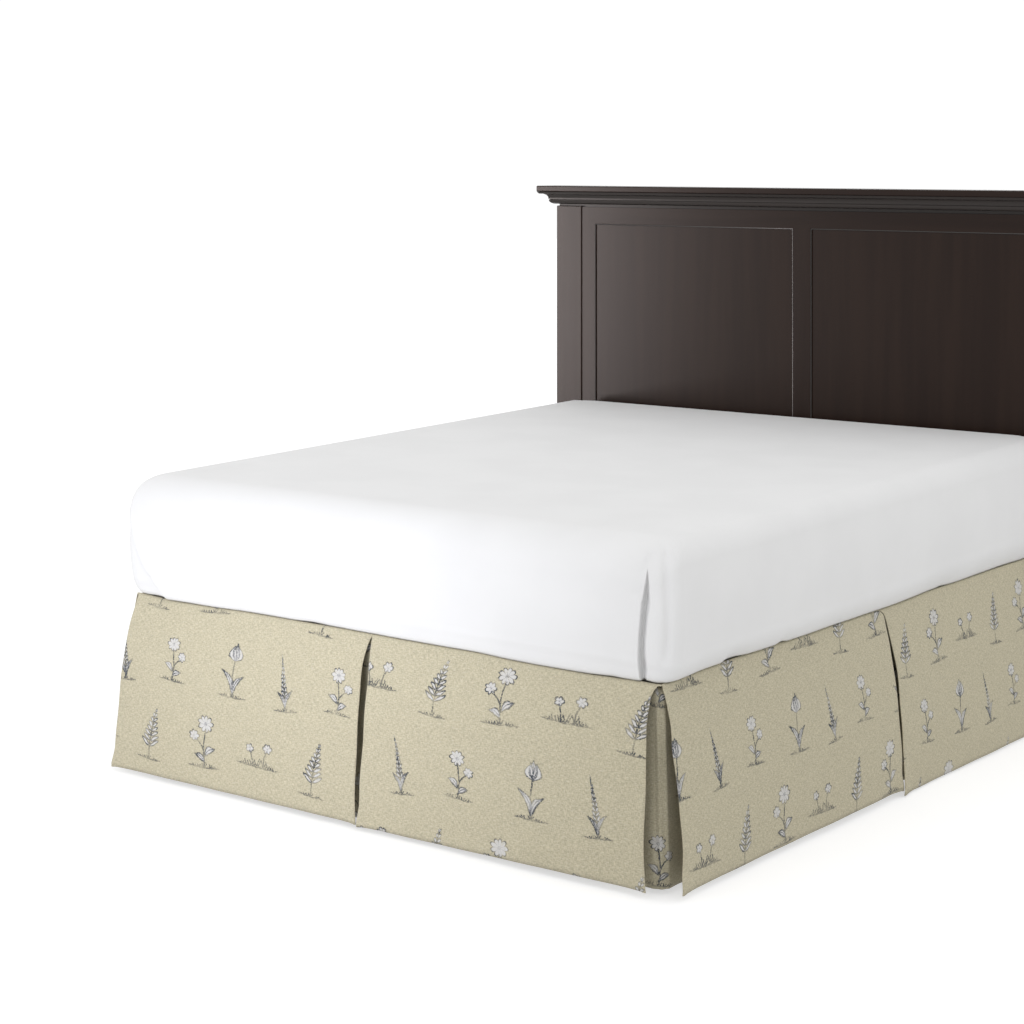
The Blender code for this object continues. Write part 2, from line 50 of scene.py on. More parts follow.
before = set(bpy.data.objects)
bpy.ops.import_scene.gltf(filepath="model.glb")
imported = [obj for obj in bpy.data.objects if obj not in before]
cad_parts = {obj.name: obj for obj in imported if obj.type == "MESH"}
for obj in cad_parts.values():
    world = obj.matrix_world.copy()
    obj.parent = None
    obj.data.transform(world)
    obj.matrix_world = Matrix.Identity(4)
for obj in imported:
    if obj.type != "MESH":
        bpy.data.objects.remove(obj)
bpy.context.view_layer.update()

# ---- Sizes shared by the pieces ------------------------------------------------------------------

HALF_WIDTH = 0.762
HALF_LENGTH = 1.016
HEADBOARD_FRONT = 1.031
BED_SHIFT = Vector((0.0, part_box("headboard_post_right")[0].y - HEADBOARD_FRONT, 0.0))
BOX_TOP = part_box("box_spring")[1].z
GAP = 0.0003
WELD = 0.00001
CLOTH = 0.002
HUNG_CLOTH = 0.8 * CLOTH

# Skirt
PANEL_ROLL = 0.022
NEST = CLOTH + 0.001
UNDERLAY_ROLL = PANEL_ROLL - NEST
ROLL_CENTER_Z = BOX_TOP - UNDERLAY_ROLL + NEST
DECK_TOP = BOX_TOP + GAP + CLOTH
LIP_LENGTH = 0.036
HEM_HEIGHT = 0.012
UNDERLAY_WING = 0.11
UNDERLAY_FLARE = 0.006

# Mattress and sheet
MATTRESS_TOP = 0.7485
MATTRESS_BOTTOM = BOX_TOP + GAP + CLOTH + GAP
MATTRESS_HALF_WIDTH = HALF_WIDTH + 0.025
MATTRESS_HALF_LENGTH = HALF_LENGTH + 0.008
MATTRESS_CORNER = 0.048
MATTRESS_BULGE = 0.006
MATTRESS_LEAN = 0.018
BOTTOM_RADIUS = 0.06
SIDE_TOP_RADIUS = 0.052
FOOT_TOP_RADIUS = 0.1
TUCK_ANGLE = 42.0
SHEET_CLOTH = 0.0015
SHEET_STANDS_OFF = 0.0035


# ---- Numbers and meshes --------------------------------------------------------------------------

def mix(first, last, share):
    """The value that lies share of the way from first to last."""
    return first + (last - first) * share


def smooth(value):
    """A soft step from 0 to 1."""
    value = min(max(value, 0.0), 1.0)
    return value * value * (3.0 - 2.0 * value)


def bump(value, middle, reach):
    """A soft hill, 1 at its middle and 0 at its reach."""
    return smooth(1.0 - abs(value - middle) / reach)


def through(points, value):
    """The height at a value of a smooth curve through points (place, height)."""
    last = len(points) - 2
    piece = max(min(sum(place < value for place, _ in points) - 1, last), 0)
    near = [points[min(max(piece + step, 0), last + 1)] for step in (-1, 0, 1, 2)]
    (x0, y0), (x1, y1), (x2, y2), (x3, y3) = near
    span = x2 - x1
    share = min(max((value - x1) / span, 0.0), 1.0)
    leave, arrive = (y2 - y0) / (x2 - x0) * span, (y3 - y1) / (x3 - x1) * span
    curved = (2.0 * share ** 3 - 3.0 * share ** 2 + 1.0) * y1 + (3.0 * share ** 2 - 2.0 * share ** 3) * y2
    return curved + (share ** 3 - 2.0 * share ** 2 + share) * leave + (share ** 3 - share ** 2) * arrive


def tenths(*points):
    """Points given in tenths of a millimetre."""
    return [(place / 10000, value / 10000) for place, value in points]


def add_object(name, data):
    """Link a new object to the scene."""
    made = bpy.data.objects.new(name, data)
    bpy.context.scene.collection.objects.link(made)
    return made


def add_mesh(name, bm, materials):
    """Turn a mesh that is being built into an object with its materials."""
    mesh = bpy.data.meshes.new(name)
    bm.to_mesh(mesh)
    bm.free()
    for finish in materials:
        mesh.materials.append(finish)
    return add_object(name, mesh)


def add_piece(name, bm, materials, slot, *replaced):
    """Turn a mesh in the bed's own places into a shown piece that rides on the bed in place of CAD nodes."""
    bmesh.ops.translate(bm, vec=BED_SHIFT, verts=bm.verts)
    piece = add_mesh(name, bm, materials)
    piece.data.shade_smooth()
    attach(piece, "root")
    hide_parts(*replaced)
    return piece


def grid(columns, rows, place):
    """A grid of faces; place(column, row) gives each point, from the low left corner."""
    bm = bmesh.new()
    bmesh.ops.create_grid(bm, x_segments=columns, y_segments=rows, size=1.0)
    for vert in bm.verts:
        vert.co = place(round((vert.co.x + 1.0) / 2.0 * columns), round((vert.co.y + 1.0) / 2.0 * rows))
    return bm


def cloth_grid(columns, rows, place):
    """A grid of cloth; place(column, row), from its top row down, gives a point and its place on the
    cloth, in metres."""
    laid = []

    def put(column, row):
        point, on_cloth = place(column, rows - row)
        laid.append(on_cloth)
        return point

    bm = grid(columns, rows, put)
    bm.verts.index_update()
    layer = bm.loops.layers.uv.new("cloth")
    for face in bm.faces:
        for loop in face.loops:
            loop[layer].uv = laid[loop.vert.index]
    return bm


def thicken(piece, thickness):
    """Give a cloth its thickness, inwards from its outer face."""
    solidify = piece.modifiers.new("Thickness", "SOLIDIFY")
    solidify.thickness = thickness
    solidify.offset = -1.0


def open_edges(bm):
    """The edges along a mesh's rim."""
    return [edge for edge in bm.edges if edge.is_boundary]


# ---- Shader nodes --------------------------------------------------------------------------------

class Value:
    """A socket's value, worked with as a number is: each step adds a math node, and | takes the larger."""

    def __init__(self, nodes, socket):
        self.nodes, self.socket = nodes, socket

    def math(self, operation, other=0.0, clamp=False):
        return self.nodes.math(operation, self, other, clamp)

    __add__ = partialmethod(math, "ADD")
    __sub__ = partialmethod(math, "SUBTRACT")
    __mul__ = partialmethod(math, "MULTIPLY")
    __truediv__ = partialmethod(math, "DIVIDE")
    __or__ = partialmethod(math, "MAXIMUM")
    __abs__ = partialmethod(math, "ABSOLUTE")


class Nodes:
    """Adds nodes to one tree; each call but feed and add returns the value that carries the result."""

    def __init__(self, tree):
        self.tree = tree

    def feed(self, socket, value):
        if isinstance(value, Value):
            self.tree.links.new(value.socket, socket)
        else:
            socket.default_value = value

    def add(self, kind, inputs=(), **settings):
        node = self.tree.nodes.new(kind)
        for name, value in settings.items():
            setattr(node, name, value)
        for key, value in dict(inputs).items():
            self.feed(node.inputs[key], value)
        return node

    def get(self, kind, inputs=(), output=0, **settings):
        return Value(self, self.add(kind, inputs, **settings).outputs[output])

    def math(self, operation, first, second=0.0, clamp=False):
        return self.get("ShaderNodeMath", {0: first, 1: second}, operation=operation, use_clamp=clamp)

    def vector(self, operation, first, *others):
        return self.get("ShaderNodeVectorMath", dict(enumerate((first, *others))), operation=operation)

    def turn(self, value, angle):
        return self.get("ShaderNodeVectorRotate", {"Vector": value, "Angle": angle}, rotation_type="Z_AXIS")

    def split(self, value):
        return [Value(self, part) for part in self.add("ShaderNodeSeparateXYZ", {0: value}).outputs]

    def join(self, x, y, z=0.0):
        return self.get("ShaderNodeCombineXYZ", {0: x, 1: y, 2: z})

    def step(self, value, low, high, out_low=0.0, out_high=1.0):
        """A soft step, from out_low at low to out_high at high."""
        return self.get("ShaderNodeMapRange", {0: value, 1: low, 2: high, 3: out_low, 4: out_high},
                        interpolation_type="SMOOTHSTEP")

    def fade(self, value, low, high, out_low=1.0):
        """A soft step from out_low down to 0."""
        return self.step(value, low, high, out_low, 0.0)

    def noise(self, place, scale=1.0, detail=2.0, roughness=0.5, output="Fac"):
        return self.get("ShaderNodeTexNoise", {"Vector": place, "Scale": scale, "Detail": detail,
                                               "Roughness": roughness}, output)

    def stretched(self, place, scales, detail=1.0, roughness=0.5):
        """Noise on a place that is stretched along its axes."""
        return self.noise(self.vector("MULTIPLY", place, scales), 1.0, detail, roughness)

    def blend(self, share, first, last):
        return self.get("ShaderNodeMix", {0: share, 6: first, 7: last}, 2, data_type="RGBA")

    def object_place(self):
        return self.get("ShaderNodeTexCoord", output="Object")


PLACES = ("Place", "Foot", "Centre")


def effect(name, inputs, outputs):
    """Turn a drawing, fill(nodes, given), into a shader node group that a file holds once. Each call of
    the result places the group in a tree and returns its outputs by name. Inputs in PLACES are vectors."""
    def decorate(fill):
        def use(nodes, **values):
            tree = bpy.data.node_groups.get(name) or build_group(name, inputs.split(), outputs.split(), fill)
            node = nodes.add("ShaderNodeGroup", values, node_tree=tree)
            return {socket.name: Value(nodes, socket) for socket in node.outputs}
        return use
    return decorate


def build_group(name, inputs, outputs, fill):
    """A shader node group with named inputs and outputs."""
    tree = bpy.data.node_groups.new(name, "ShaderNodeTree")
    for label in inputs:
        kind = "NodeSocketVector" if label in PLACES else "NodeSocketFloat"
        tree.interface.new_socket(name=label, in_out="INPUT", socket_type=kind)
    for label in outputs:
        tree.interface.new_socket(name=label, in_out="OUTPUT", socket_type="NodeSocketFloat")
    nodes = Nodes(tree)
    given = {socket.name: Value(nodes, socket) for socket in tree.nodes.new("NodeGroupInput").outputs}
    result = tree.nodes.new("NodeGroupOutput").inputs
    for label, value in zip(outputs, fill(nodes, given)):
        nodes.feed(result[label], value)
    return tree


def new_material(name, roughness, specular, sheen=0.0):
    """A material with its shader's plain values set, and the helper that adds its nodes."""
    made = bpy.data.materials.new(name)
    made.use_nodes = True
    shader = made.node_tree.nodes["Principled BSDF"].inputs
    shader["Roughness"].default_value = roughness
    shader["Specular IOR Level"].default_value = specular
    shader["Sheen Weight"].default_value = sheen
    return made, Nodes(made.node_tree), shader


def lay_on(nodes, shader, color, height, distance):
    """Give a finish its colour, and raise its surface by a height mask, distance metres high."""
    nodes.feed(shader["Base Color"], color)
    nodes.feed(shader["Normal"], nodes.get("ShaderNodeBump", {"Height": height, "Distance": distance}))


def tinted(color, share=1.0):
    """A colour for a socket, made darker or lighter."""
    return (*(part * share for part in color), 1.0)


# ---- The printed sprigs --------------------------------------------------------------------------

@effect("drawn leaf", "Place Foot Turn Length Width Bend Line", "Ink Fill")
def leaf(nodes, given):
    """A leaf from its foot: outline, midrib and body. With no width it is a curved stroke."""
    x, y, _ = nodes.split(nodes.turn(nodes.vector("SUBTRACT", given["Place"], given["Foot"]), given["Turn"]))
    share = x.math("DIVIDE", given["Length"], clamp=True)
    arch = (share * math.pi).math("SINE")
    away = abs(y - arch * given["Bend"])
    beyond = abs(x - share * given["Length"])
    inside = arch * given["Width"] - away
    near = (abs(inside) | beyond).math("MINIMUM", (away | beyond) * 1.7) / given["Line"]
    return nodes.fade(near, 0.45, 1.0), nodes.step(inside, 0.0, 0.001)


@effect("drawn flower", "Place Centre Radius Petals Line", "Ink Fill")
def flower(nodes, given):
    """A daisy head: lobed rim, rays between the petals, a dotted heart, and pale petals."""
    centred = nodes.vector("SUBTRACT", given["Place"], given["Centre"])
    x, y, _ = nodes.split(centred)
    far = nodes.get("ShaderNodeVectorMath", {0: nodes.join(x, y * 1.22)}, "Value", operation="LENGTH")
    far = far / given["Radius"]
    lobe = abs((y.math("ARCTAN2", x) * given["Petals"]).math("COSINE"))
    edge = lobe.math("POWER", 0.55) * 0.42 + 0.56
    rim = nodes.fade(abs(far - edge) / (given["Line"] / given["Radius"]), 0.45, 1.0)
    ray = nodes.fade(lobe, 0.1, 0.22, 0.8) * nodes.step(far, 0.62, 0.54)
    dots = nodes.step(nodes.noise(centred, 900.0, 1.0), 0.42, 0.6)
    return rim | ray | nodes.step(far, 0.24, 0.18) * dots, nodes.step(edge - far, 0.0, 0.1)


@effect("drawn grass", "Place Reach Height Line", "Ink")
def grass(nodes, given):
    """A tuft of short blades that lean two ways, tallest in the middle, on a broken ground line."""
    x, y, _ = nodes.split(given["Place"])
    across = x / given["Reach"]
    crown = nodes.math("SUBTRACT", 1.0, across * across)
    blades = []
    for lean, pitch, seed in ((0.55, 0.0062, 3.0), (-0.42, 0.0078, 11.0)):
        cell = (x - y * lean) / pitch
        chance = nodes.get("ShaderNodeTexWhiteNoise", {"W": cell.math("FLOOR") + seed}, "Value", noise_dimensions="1D")
        off = abs(cell.math("FRACT") - 0.5)
        blades.append(nodes.fade(off * pitch / given["Line"], 0.35, 0.85)
                      * nodes.step(chance * crown * given["Height"] - y, 0.0, 0.0015))
    above = (blades[0] | blades[1]) * nodes.step(y, -0.0012, 0.0004)
    ground = abs(y + crown * 0.0016) / given["Line"]
    return (above | nodes.fade(ground, 0.3, 0.8, 0.75) * nodes.step(crown, -0.25, 0.1),)


@effect("drawn frond", "Place Height Bend Slant Pitch Reach Line", "Ink Fill")
def frond(nodes, given):
    """A bent stem with paired leaflets that shorten towards its tip."""
    x, y, _ = nodes.split(given["Place"])
    high = y / given["Height"]
    off = abs(x - high * high * given["Bend"])
    cell = (y - off * given["Slant"]) / given["Pitch"]
    level = cell.math("FLOOR") * given["Pitch"] / given["Height"]
    reach = nodes.math("SUBTRACT", 1.02, level) * given["Reach"]
    belly = (off.math("DIVIDE", reach, clamp=True) * math.pi).math("SINE") * 0.36
    inside = belly - abs(cell.math("FRACT") - 0.5)
    rim = abs(inside) / (given["Line"] / given["Pitch"])
    held = nodes.step(level, 0.16, 0.2) * nodes.step(level, 0.98, 0.94) * nodes.step(off - reach, 0.0006, 0.0)
    stem = nodes.fade(off / given["Line"], 0.4, 0.9) * (nodes.step(high, 0.0, 0.01) * nodes.step(high, 1.0, 0.97))
    return nodes.fade(rim, 0.35, 0.9) * held | stem, nodes.step(inside, 0.0, 0.1) * held


LINE = 0.003


def together(drawn):
    """Join the ink, and the bodies, of several drawn things."""
    return [reduce(or_, (thing[part] for thing in drawn)) for part in ("Ink", "Fill")]


def sprig(name, fronds, leaves, flowers, reach, height):
    """A sprig as a group: fronds (height, bend, slant, pitch, reach), leaves (foot x, foot y, direction in
    degrees, length, width, bend), flowers (x, y, radius, petals), and grass of a reach and a height."""
    @effect(name, "Place", "Ink Fill")
    def draw(nodes, given):
        shared = {"Place": given["Place"], "Line": LINE}
        drawn = [frond(nodes, Height=tall, Bend=bend, Slant=slant, Pitch=pitch, Reach=out, **shared)
                 for tall, bend, slant, pitch, out in fronds]
        drawn += [leaf(nodes, Foot=(x, y, 0.0), Turn=-math.radians(direction), Length=length, Width=width, Bend=bend,
                       **shared) for x, y, direction, length, width, bend in leaves]
        drawn += [flower(nodes, Centre=(x, y, 0.0), Radius=radius, Petals=petals, **shared)
                  for x, y, radius, petals in flowers]
        ink, body = together(drawn)
        return ink | grass(nodes, Reach=reach, Height=height, **shared)["Ink"], body
    return draw


DAISY = sprig("daisy sprig", (), (
    (0.0, 0.002, 85, 0.088, 0.0, 0.005), (0.001, 0.03, 128, 0.046, 0.0, -0.006),
    (0.002, 0.026, 33, 0.038, 0.0075, 0.006), (0.001, 0.012, 152, 0.034, 0.0068, -0.005)),
    ((0.008, 0.104, 0.025, 4.5), (-0.03, 0.073, 0.016, 3.5)), 0.048, 0.013)
TULIP = sprig("tulip sprig", (), (
    (0.0, 0.002, 92, 0.086, 0.0, -0.004), (-0.004, 0.084, 78, 0.036, 0.011, -0.008),
    (-0.002, 0.084, 104, 0.036, 0.011, 0.008), (-0.003, 0.085, 91, 0.04, 0.0085, 0.0),
    (0.001, 0.004, 58, 0.066, 0.0065, 0.012), (0.0, 0.004, 124, 0.056, 0.0062, -0.01)), (), 0.042, 0.011)
MEADOW = sprig("meadow tuft", (), ((-0.016, 0.0, 104, 0.034, 0.0, -0.003), (0.02, 0.0, 76, 0.042, 0.0, 0.004)),
               ((-0.025, 0.04, 0.0125, 2.5), (0.031, 0.047, 0.0145, 3.0)), 0.062, 0.024)
FERN = sprig("fern", ((0.122, 0.018, 0.62, 0.0125, 0.034),), (), (), 0.036, 0.01)
LAVENDER = sprig("lavender", ((0.128, -0.012, 1.1, 0.0102, 0.0125),), (
    (0.0, 0.004, 64, 0.05, 0.0042, 0.007), (0.0, 0.004, 118, 0.044, 0.004, -0.006)), (), 0.034, 0.01)

# The sprigs of one repeat of the print: what is drawn, where its foot stands, its turn in degrees,
# its hand and its size
REPEAT = (0.52, 0.372, 0.0)
SPRIGS = (
    (DAISY, 0.062, 0.004, -2.0, 1.0, 1.0), (MEADOW, 0.232, 0.034, 2.0, 1.0, 1.0),
    (FERN, 0.398, -0.006, 4.0, 1.0, 1.02), (TULIP, 0.15, 0.186, 1.0, -1.0, 1.0),
    (LAVENDER, 0.318, 0.178, -4.0, 1.0, 1.0), (DAISY, 0.474, 0.196, 3.0, -1.0, 0.84),
)
SPRIG_MIDDLE = 0.06


@effect("sprig print", "Place", "Ink Fill")
def sprig_print(nodes, given):
    """The whole print: every sprig in its place in the repeat, drawn in a slightly shaky, broken line."""
    shake = nodes.vector("SUBTRACT", nodes.noise(given["Place"], 75.0, 1.0, output="Color"), (0.5, 0.5, 0.5))
    shaken = nodes.vector("ADD", given["Place"], nodes.vector("MULTIPLY", shake, (0.0052, 0.0052, 0.0)))
    half = tuple(side / 2.0 for side in REPEAT)
    drawn = []
    for draw, x, y, turn, hand, size in SPRIGS:
        wrap = nodes.vector("WRAP", nodes.vector("SUBTRACT", shaken, (x, y + SPRIG_MIDDLE, 0.0)), half,
                            tuple(-side for side in half))
        turned = nodes.turn(nodes.vector("ADD", wrap, (0.0, SPRIG_MIDDLE, 0.0)), math.radians(turn))
        drawn.append(draw(nodes, Place=nodes.vector("MULTIPLY", turned, (hand / size, 1.0 / size, 0.0))))
    ink, body = together(drawn)
    broken = nodes.step(nodes.noise(given["Place"], 230.0, 2.0, 0.6), 0.34, 0.52, 0.25, 1.0)
    faint = nodes.step(nodes.noise(given["Place"], 24.0, 1.0), 0.34, 0.64, 0.45, 1.0)
    dabbed = nodes.step(nodes.noise(given["Place"], 90.0, 2.0), 0.3, 0.5, 0.62, 1.0)
    return ink * broken * faint, body * dabbed


# ---- Cloth finishes ------------------------------------------------------------------------------

@effect("slubby weave", "Place Pitch", "Tone Fleck Height")
def weave(nodes, given):
    """Slubby plain weave: a tone that varies thread by thread, and the threads' relief."""
    place = given["Place"]
    x, y, _ = nodes.split(place)
    weft = nodes.stretched(place, (115.0, 540.0, 1.0), 1.0, 0.6)
    warp = nodes.stretched(place, (540.0, 125.0, 1.0), 1.0, 0.6)
    fleck = nodes.step(nodes.stretched(place, (85.0, 330.0, 1.0)), 0.6, 0.72)
    tone = (weft * 0.52 + warp * 0.48) * 0.92 + nodes.noise(place, 30.0) * 0.08
    turns = nodes.math("DIVIDE", 2.0 * math.pi, given["Pitch"])
    over = (x * turns).math("SINE") * (y * turns).math("SINE") * 0.18
    return tone, fleck, tone + fleck * 0.25 + over


def linen_finish(name, settings, offset, painted_shade=1.0):
    """Oatmeal linen with the sprigs printed on it; offset moves the print on the piece, and the last argument darkens
    the whole cloth as painted shade.
    """
    made, nodes, shader = new_material(name, 0.86, 0.18, 0.08)
    place = nodes.get("ShaderNodeUVMap", uv_map="cloth")
    woven = weave(nodes, Place=place, Pitch=settings.thread_pitch)
    color = nodes.blend(nodes.step(woven["Tone"], 0.34, 0.66), tinted(settings.ground, painted_shade * 0.78),
                        tinted(settings.ground, painted_shade * 1.17))
    color = nodes.blend(woven["Fleck"] * 0.4, color, tinted(settings.fleck, painted_shade))
    drawn = sprig_print(nodes, Place=nodes.vector("ADD", place, (*offset, 0.0)))
    color = nodes.blend(drawn["Fill"] * 0.8, color, tinted(settings.fill, painted_shade))
    thread = nodes.step(woven["Tone"], 0.36, 0.68, 1.0, 0.8)
    lay_on(nodes, shader, nodes.blend(drawn["Ink"] * thread, color, tinted(settings.ink)), woven["Height"], 0.0007)
    return made


def plain_cloth(name, color):
    """Plain woven cloth in one colour, on its place in the bed."""
    made, nodes, shader = new_material(name, 0.9, 0.2, 0.05)
    woven = weave(nodes, Place=nodes.object_place(), Pitch=0.0012)
    lay_on(nodes, shader, nodes.blend(nodes.step(woven["Tone"], 0.35, 0.65), tinted(color, 0.94), tinted(color)),
           woven["Height"], 0.0004)
    return made


def white_finish(name, settings):
    """Fine white cotton, almost smooth, with the faint relief of a pressed sheet."""
    made, nodes, shader = new_material(name, 0.78, 0.22, 0.12)
    place = nodes.object_place()
    soft = nodes.noise(place, 5.0, 3.0)
    color = nodes.blend(nodes.step(soft, 0.35, 0.65), tinted(settings.white, 0.975), tinted(settings.white))
    lay_on(nodes, shader, color, soft + nodes.noise(place, 1400.0, 1.0) * 0.06, 0.002)
    return made


# ---- Skirt ---------------------------------------------------------------------------------------

LIP_ROWS = 8
TURN_ROWS = 12
DROP_ROWS = 46
PANEL_COLUMNS = 96
EDGE_TURN = 0.004
EDGE_TURNS_IN, HEM_TURNS_IN = 0.0016, 0.0014
KICK_REACH = 0.055
KICK_HEIGHT = 0.05
RIPPLE, EDGE_RIPPLE, EDGE_RIPPLE_REACH = 0.0006, 0.0009, 0.05
CORNER_DROP, CORNER_DROP_REACH = 0.0022, 0.02
RIM_OPENS = 0.004

EDGES = {
    "foot": (Vector((1, 0, 0)), Vector((0, -1, 0)), HALF_LENGTH, HALF_WIDTH),
    "right": (Vector((0, 1, 0)), Vector((1, 0, 0)), HALF_WIDTH, HALF_LENGTH),
    "left": (Vector((0, 1, 0)), Vector((-1, 0, 0)), HALF_WIDTH, HALF_LENGTH),
}

# Height of the sheet's lower edge along the foot, and along a side from foot to head
FOOT_RIM = tenths((-7700, 4425), (-7230, 4415), (-6720, 4388), (-6210, 4388), (-5710, 4375), (-5210, 4378),
    (-4710, 4389), (-4200, 4402), (0, 4400), (800, 4389), (2500, 4386), (2900, 4381), (3300, 4363), (3700, 4346),
    (5600, 4338), (6400, 4362), (7000, 4376), (7600, 4376))
SIDE_RIM = tenths((-10200, 4424), (-9600, 4439), (-8600, 4472), (-8000, 4476), (-5000, 4481), (-1400, 4493),
    (0, 4503), (1000, 4508), (2600, 4546), (4500, 4550), (6200, 4564), (10200, 4565))
RIM_TURN = 0.0055
RISE_FROM = 0.392
RIM_TOP = {"foot": 0.4385, "right": 0.444, "left": 0.444}

# Outer panels: side, then for each end its place at the deck, its swing along the edge at the hem,
# its flare out, its kick out at the hem and its rise; then the shoulder, the wave's height and start
PANELS = {
    "foot_left": ("foot", (-0.752, -0.043, 0.047, 0.005, -0.001),
        (-0.0066, -0.023, 0.046, 0.004, 0.0), 5.0, 0.0018, 0.4),
    "foot_right": ("foot", (-0.0062, -0.014, 0.048, 0.004, -0.003),
        (0.752, -0.005, 0.047, 0.003, 0.005), 5.0, 0.0022, 2.0),
    "right_foot": ("right", (-1.014, 0.003, 0.049, 0.005, 0.002),
        (-0.0185, 0.003, 0.049, 0.007, 0.005), 1.7, 0.0022, 1.1),
    "right_head": ("right", (-0.0181, 0.019, 0.053, 0.005, -0.006),
        (1.012, 0.002, 0.05, 0.0, -0.005), 1.7, 0.0024, 3.0),
    "left_foot": ("left", (-1.014, 0.002, 0.05, 0.005, 0.0),
        (-0.001, -0.004, 0.049, 0.006, 0.002), 1.9, 0.0022, 5.2),
    "left_head": ("left", (0.001, 0.01, 0.052, 0.005, -0.003),
        (1.012, 0.001, 0.048, 0.0, -0.001), 1.9, 0.002, 0.9),
}


def fall_profile(top, turn, inset, flare, shoulder, first_angle, hem):
    """Points (out, height, distance down the cloth) from the turn over the box spring's rim to the hem."""
    drop = top - hem
    angles = [math.radians(mix(first_angle, 0.0, step / TURN_ROWS)) for step in range(TURN_ROWS)]
    points = [(turn * math.cos(angle) - turn - inset, top - turn + turn * math.sin(angle)) for angle in angles]
    points += [(-inset, top - mix(turn, drop, (step / DROP_ROWS) ** 1.05)) for step in range(DROP_ROWS + 1)]
    points = [(out + flare * (1.0 - (1.0 - (top - z) / drop) ** shoulder), z) for out, z in points]
    down = [0.0]
    for first, second in zip(points, points[1:]):
        down.append(down[-1] + math.hypot(second[0] - first[0], second[1] - first[1]))
    return [(out, z, length) for (out, z), length in zip(points, down)]


def panel_share(column):
    """Where a column stands between a panel's ends, closer together towards them."""
    share = column / PANEL_COLUMNS
    return mix(share, 0.5 - 0.5 * math.cos(math.pi * share), 0.8)


# Where panel edges stand along their own side of the bed, by height: the panel and whether it is its start
EDGE_PATHS = {
    ("foot_left", False): tenths((126, -240), (976, -227), (1483, -204), (1990, -175), (2926, -149), (3643, -159),
        (3934, -142), (4182, -111), (4354, -64)),
    ("foot_right", True): tenths((96, -94), (677, -73), (1183, -46), (1691, -4), (2098, 27), (2532, 40), (3256, 61),
        (3576, 38), (3893, 8), (4164, -28), (4347, -58)),
    ("foot_right", False): tenths((120, 7455), (427, 7443), (885, 7424), (1628, 7439), (2431, 7466), (2976, 7450),
        (3303, 7423), (3567, 7396), (3956, 7402), (4125, 7405), (4236, 7427), (4329, 7485)),
    ("right_foot", True): tenths((120, -10200), (486, -10187), (910, -10136), (1269, -10120), (2056, -10113),
        (2514, -10141), (3057, -10147), (3290, -10102), (3512, -10076), (3899, -10115), (4117, -10135),
        (4285, -10155), (4393, -10227)),
    ("right_foot", False): tenths((170, 14), (502, 82), (816, 106), (1764, 130), (2394, 112), (3028, 107), (3346, 98),
        (3665, 69), (3988, 11), (4241, -7), (4314, -42), (4402, -183)),
    ("right_head", True): tenths((118, 45), (505, 116), (821, 125), (1142, 114), (1455, 122), (2081, 171),
        (2696, 219), (3014, 211), (3334, 190), (3653, 155), (3975, 102), (4235, 40), (4317, -12), (4406, -168)),
}


def rim_height(side, place):
    """How high the panels' turned rim stands at a place along a side of the bed."""
    return through(FOOT_RIM, place) + 0.0005 if side == "foot" else through(SIDE_RIM, place) - 0.0033


def place_on_panel(name, profiles, lip, column, row):
    """A point on an outer panel, and its place on the cloth."""
    side, start, end, _, wave_height, phase = PANELS[name]
    along_edge, out_of_edge, reach, corner = EDGES[side]
    spread = panel_share(column)
    on_lip = row < LIP_ROWS
    lows, highs = (lip[row], lip[row]) if on_lip else (profile[row - LIP_ROWS] for profile in profiles)
    z = mix(lows[1], highs[1], spread)
    fall = min(max((ROLL_CENTER_Z - z) / (ROLL_CENTER_Z - HEM_HEIGHT), 0.0), 1.0)
    top = RIM_TOP[side]
    opened = smooth((top - GAP - z) / RIM_OPENS)
    ends = []
    for (place, swing, _, _, _), (out, _, _), at_start in ((start, lows, True), (end, highs, False)):
        path = EDGE_PATHS.get((name, at_start))
        wanted = through(path, z) if path else place + swing * fall
        if abs(abs(place) - corner) < PANEL_ROLL and (at_start or side == "foot"):
            limit = corner + out - GAP
            sign = math.copysign(1.0, place)
            wanted = sign * min(mix(limit, abs(wanted), opened), limit)
        elif abs(place) < 0.03:
            wanted = mix(place, wanted, opened)
        ends.append(wanted)
    low, high = ends
    along = mix(low, high, spread)
    from_low, from_high = along - low, high - along
    near_hem = smooth(1.0 - (z - HEM_HEIGHT) / KICK_HEIGHT)
    kick_low = near_hem * start[3] * smooth(1.0 - from_low / KICK_REACH)
    kick_high = near_hem * end[3] * smooth(1.0 - from_high / KICK_REACH)
    wave = wave_height * fall * math.sin(phase + 3.0 * math.pi * spread)
    near_ends = bump(along, low, EDGE_RIPPLE_REACH) + bump(along, high, EDGE_RIPPLE_REACH)
    ripple = RIPPLE * fall * math.sin(9.0 * phase + 31.0 * spread + 3.0 * fall)
    ripple += EDGE_RIPPLE * math.sin(phase + 17.0 * fall) * near_ends * opened
    out = mix(lows[0], highs[0], spread) + wave + ripple + kick_low + kick_high
    out -= EDGE_TURNS_IN * opened * smooth(1.0 - min(from_low, from_high) / EDGE_TURN)
    out -= HEM_TURNS_IN * smooth(1.0 - (z - mix(profiles[0][-1][1], profiles[1][-1][1], spread)) / EDGE_TURN)
    near_corners = smooth(1.0 - from_low / CORNER_DROP_REACH) + smooth(1.0 - from_high / CORNER_DROP_REACH)
    drop = CORNER_DROP * near_hem * near_corners
    point = along_edge * (along + kick_high - kick_low) + out_of_edge * (reach + out)
    point.z = z + 0.4 * wave * fall - drop
    share = (z - DECK_TOP) / (top - DECK_TOP) if on_lip else smooth((z - RISE_FROM) / (top - RISE_FROM))
    point.z += (rim_height(side, along) - top) * share
    return point, (along, -mix(lows[2], highs[2], spread))


def hang(name, bm, finish, slot, mirrored):
    """Show one hung cloth of the skirt in place of its solid."""
    if mirrored:
        bmesh.ops.reverse_faces(bm, faces=bm.faces)
    piece = add_piece(name, bm, [finish], slot, f"skirt_{name}")
    thicken(piece, HUNG_CLOTH)


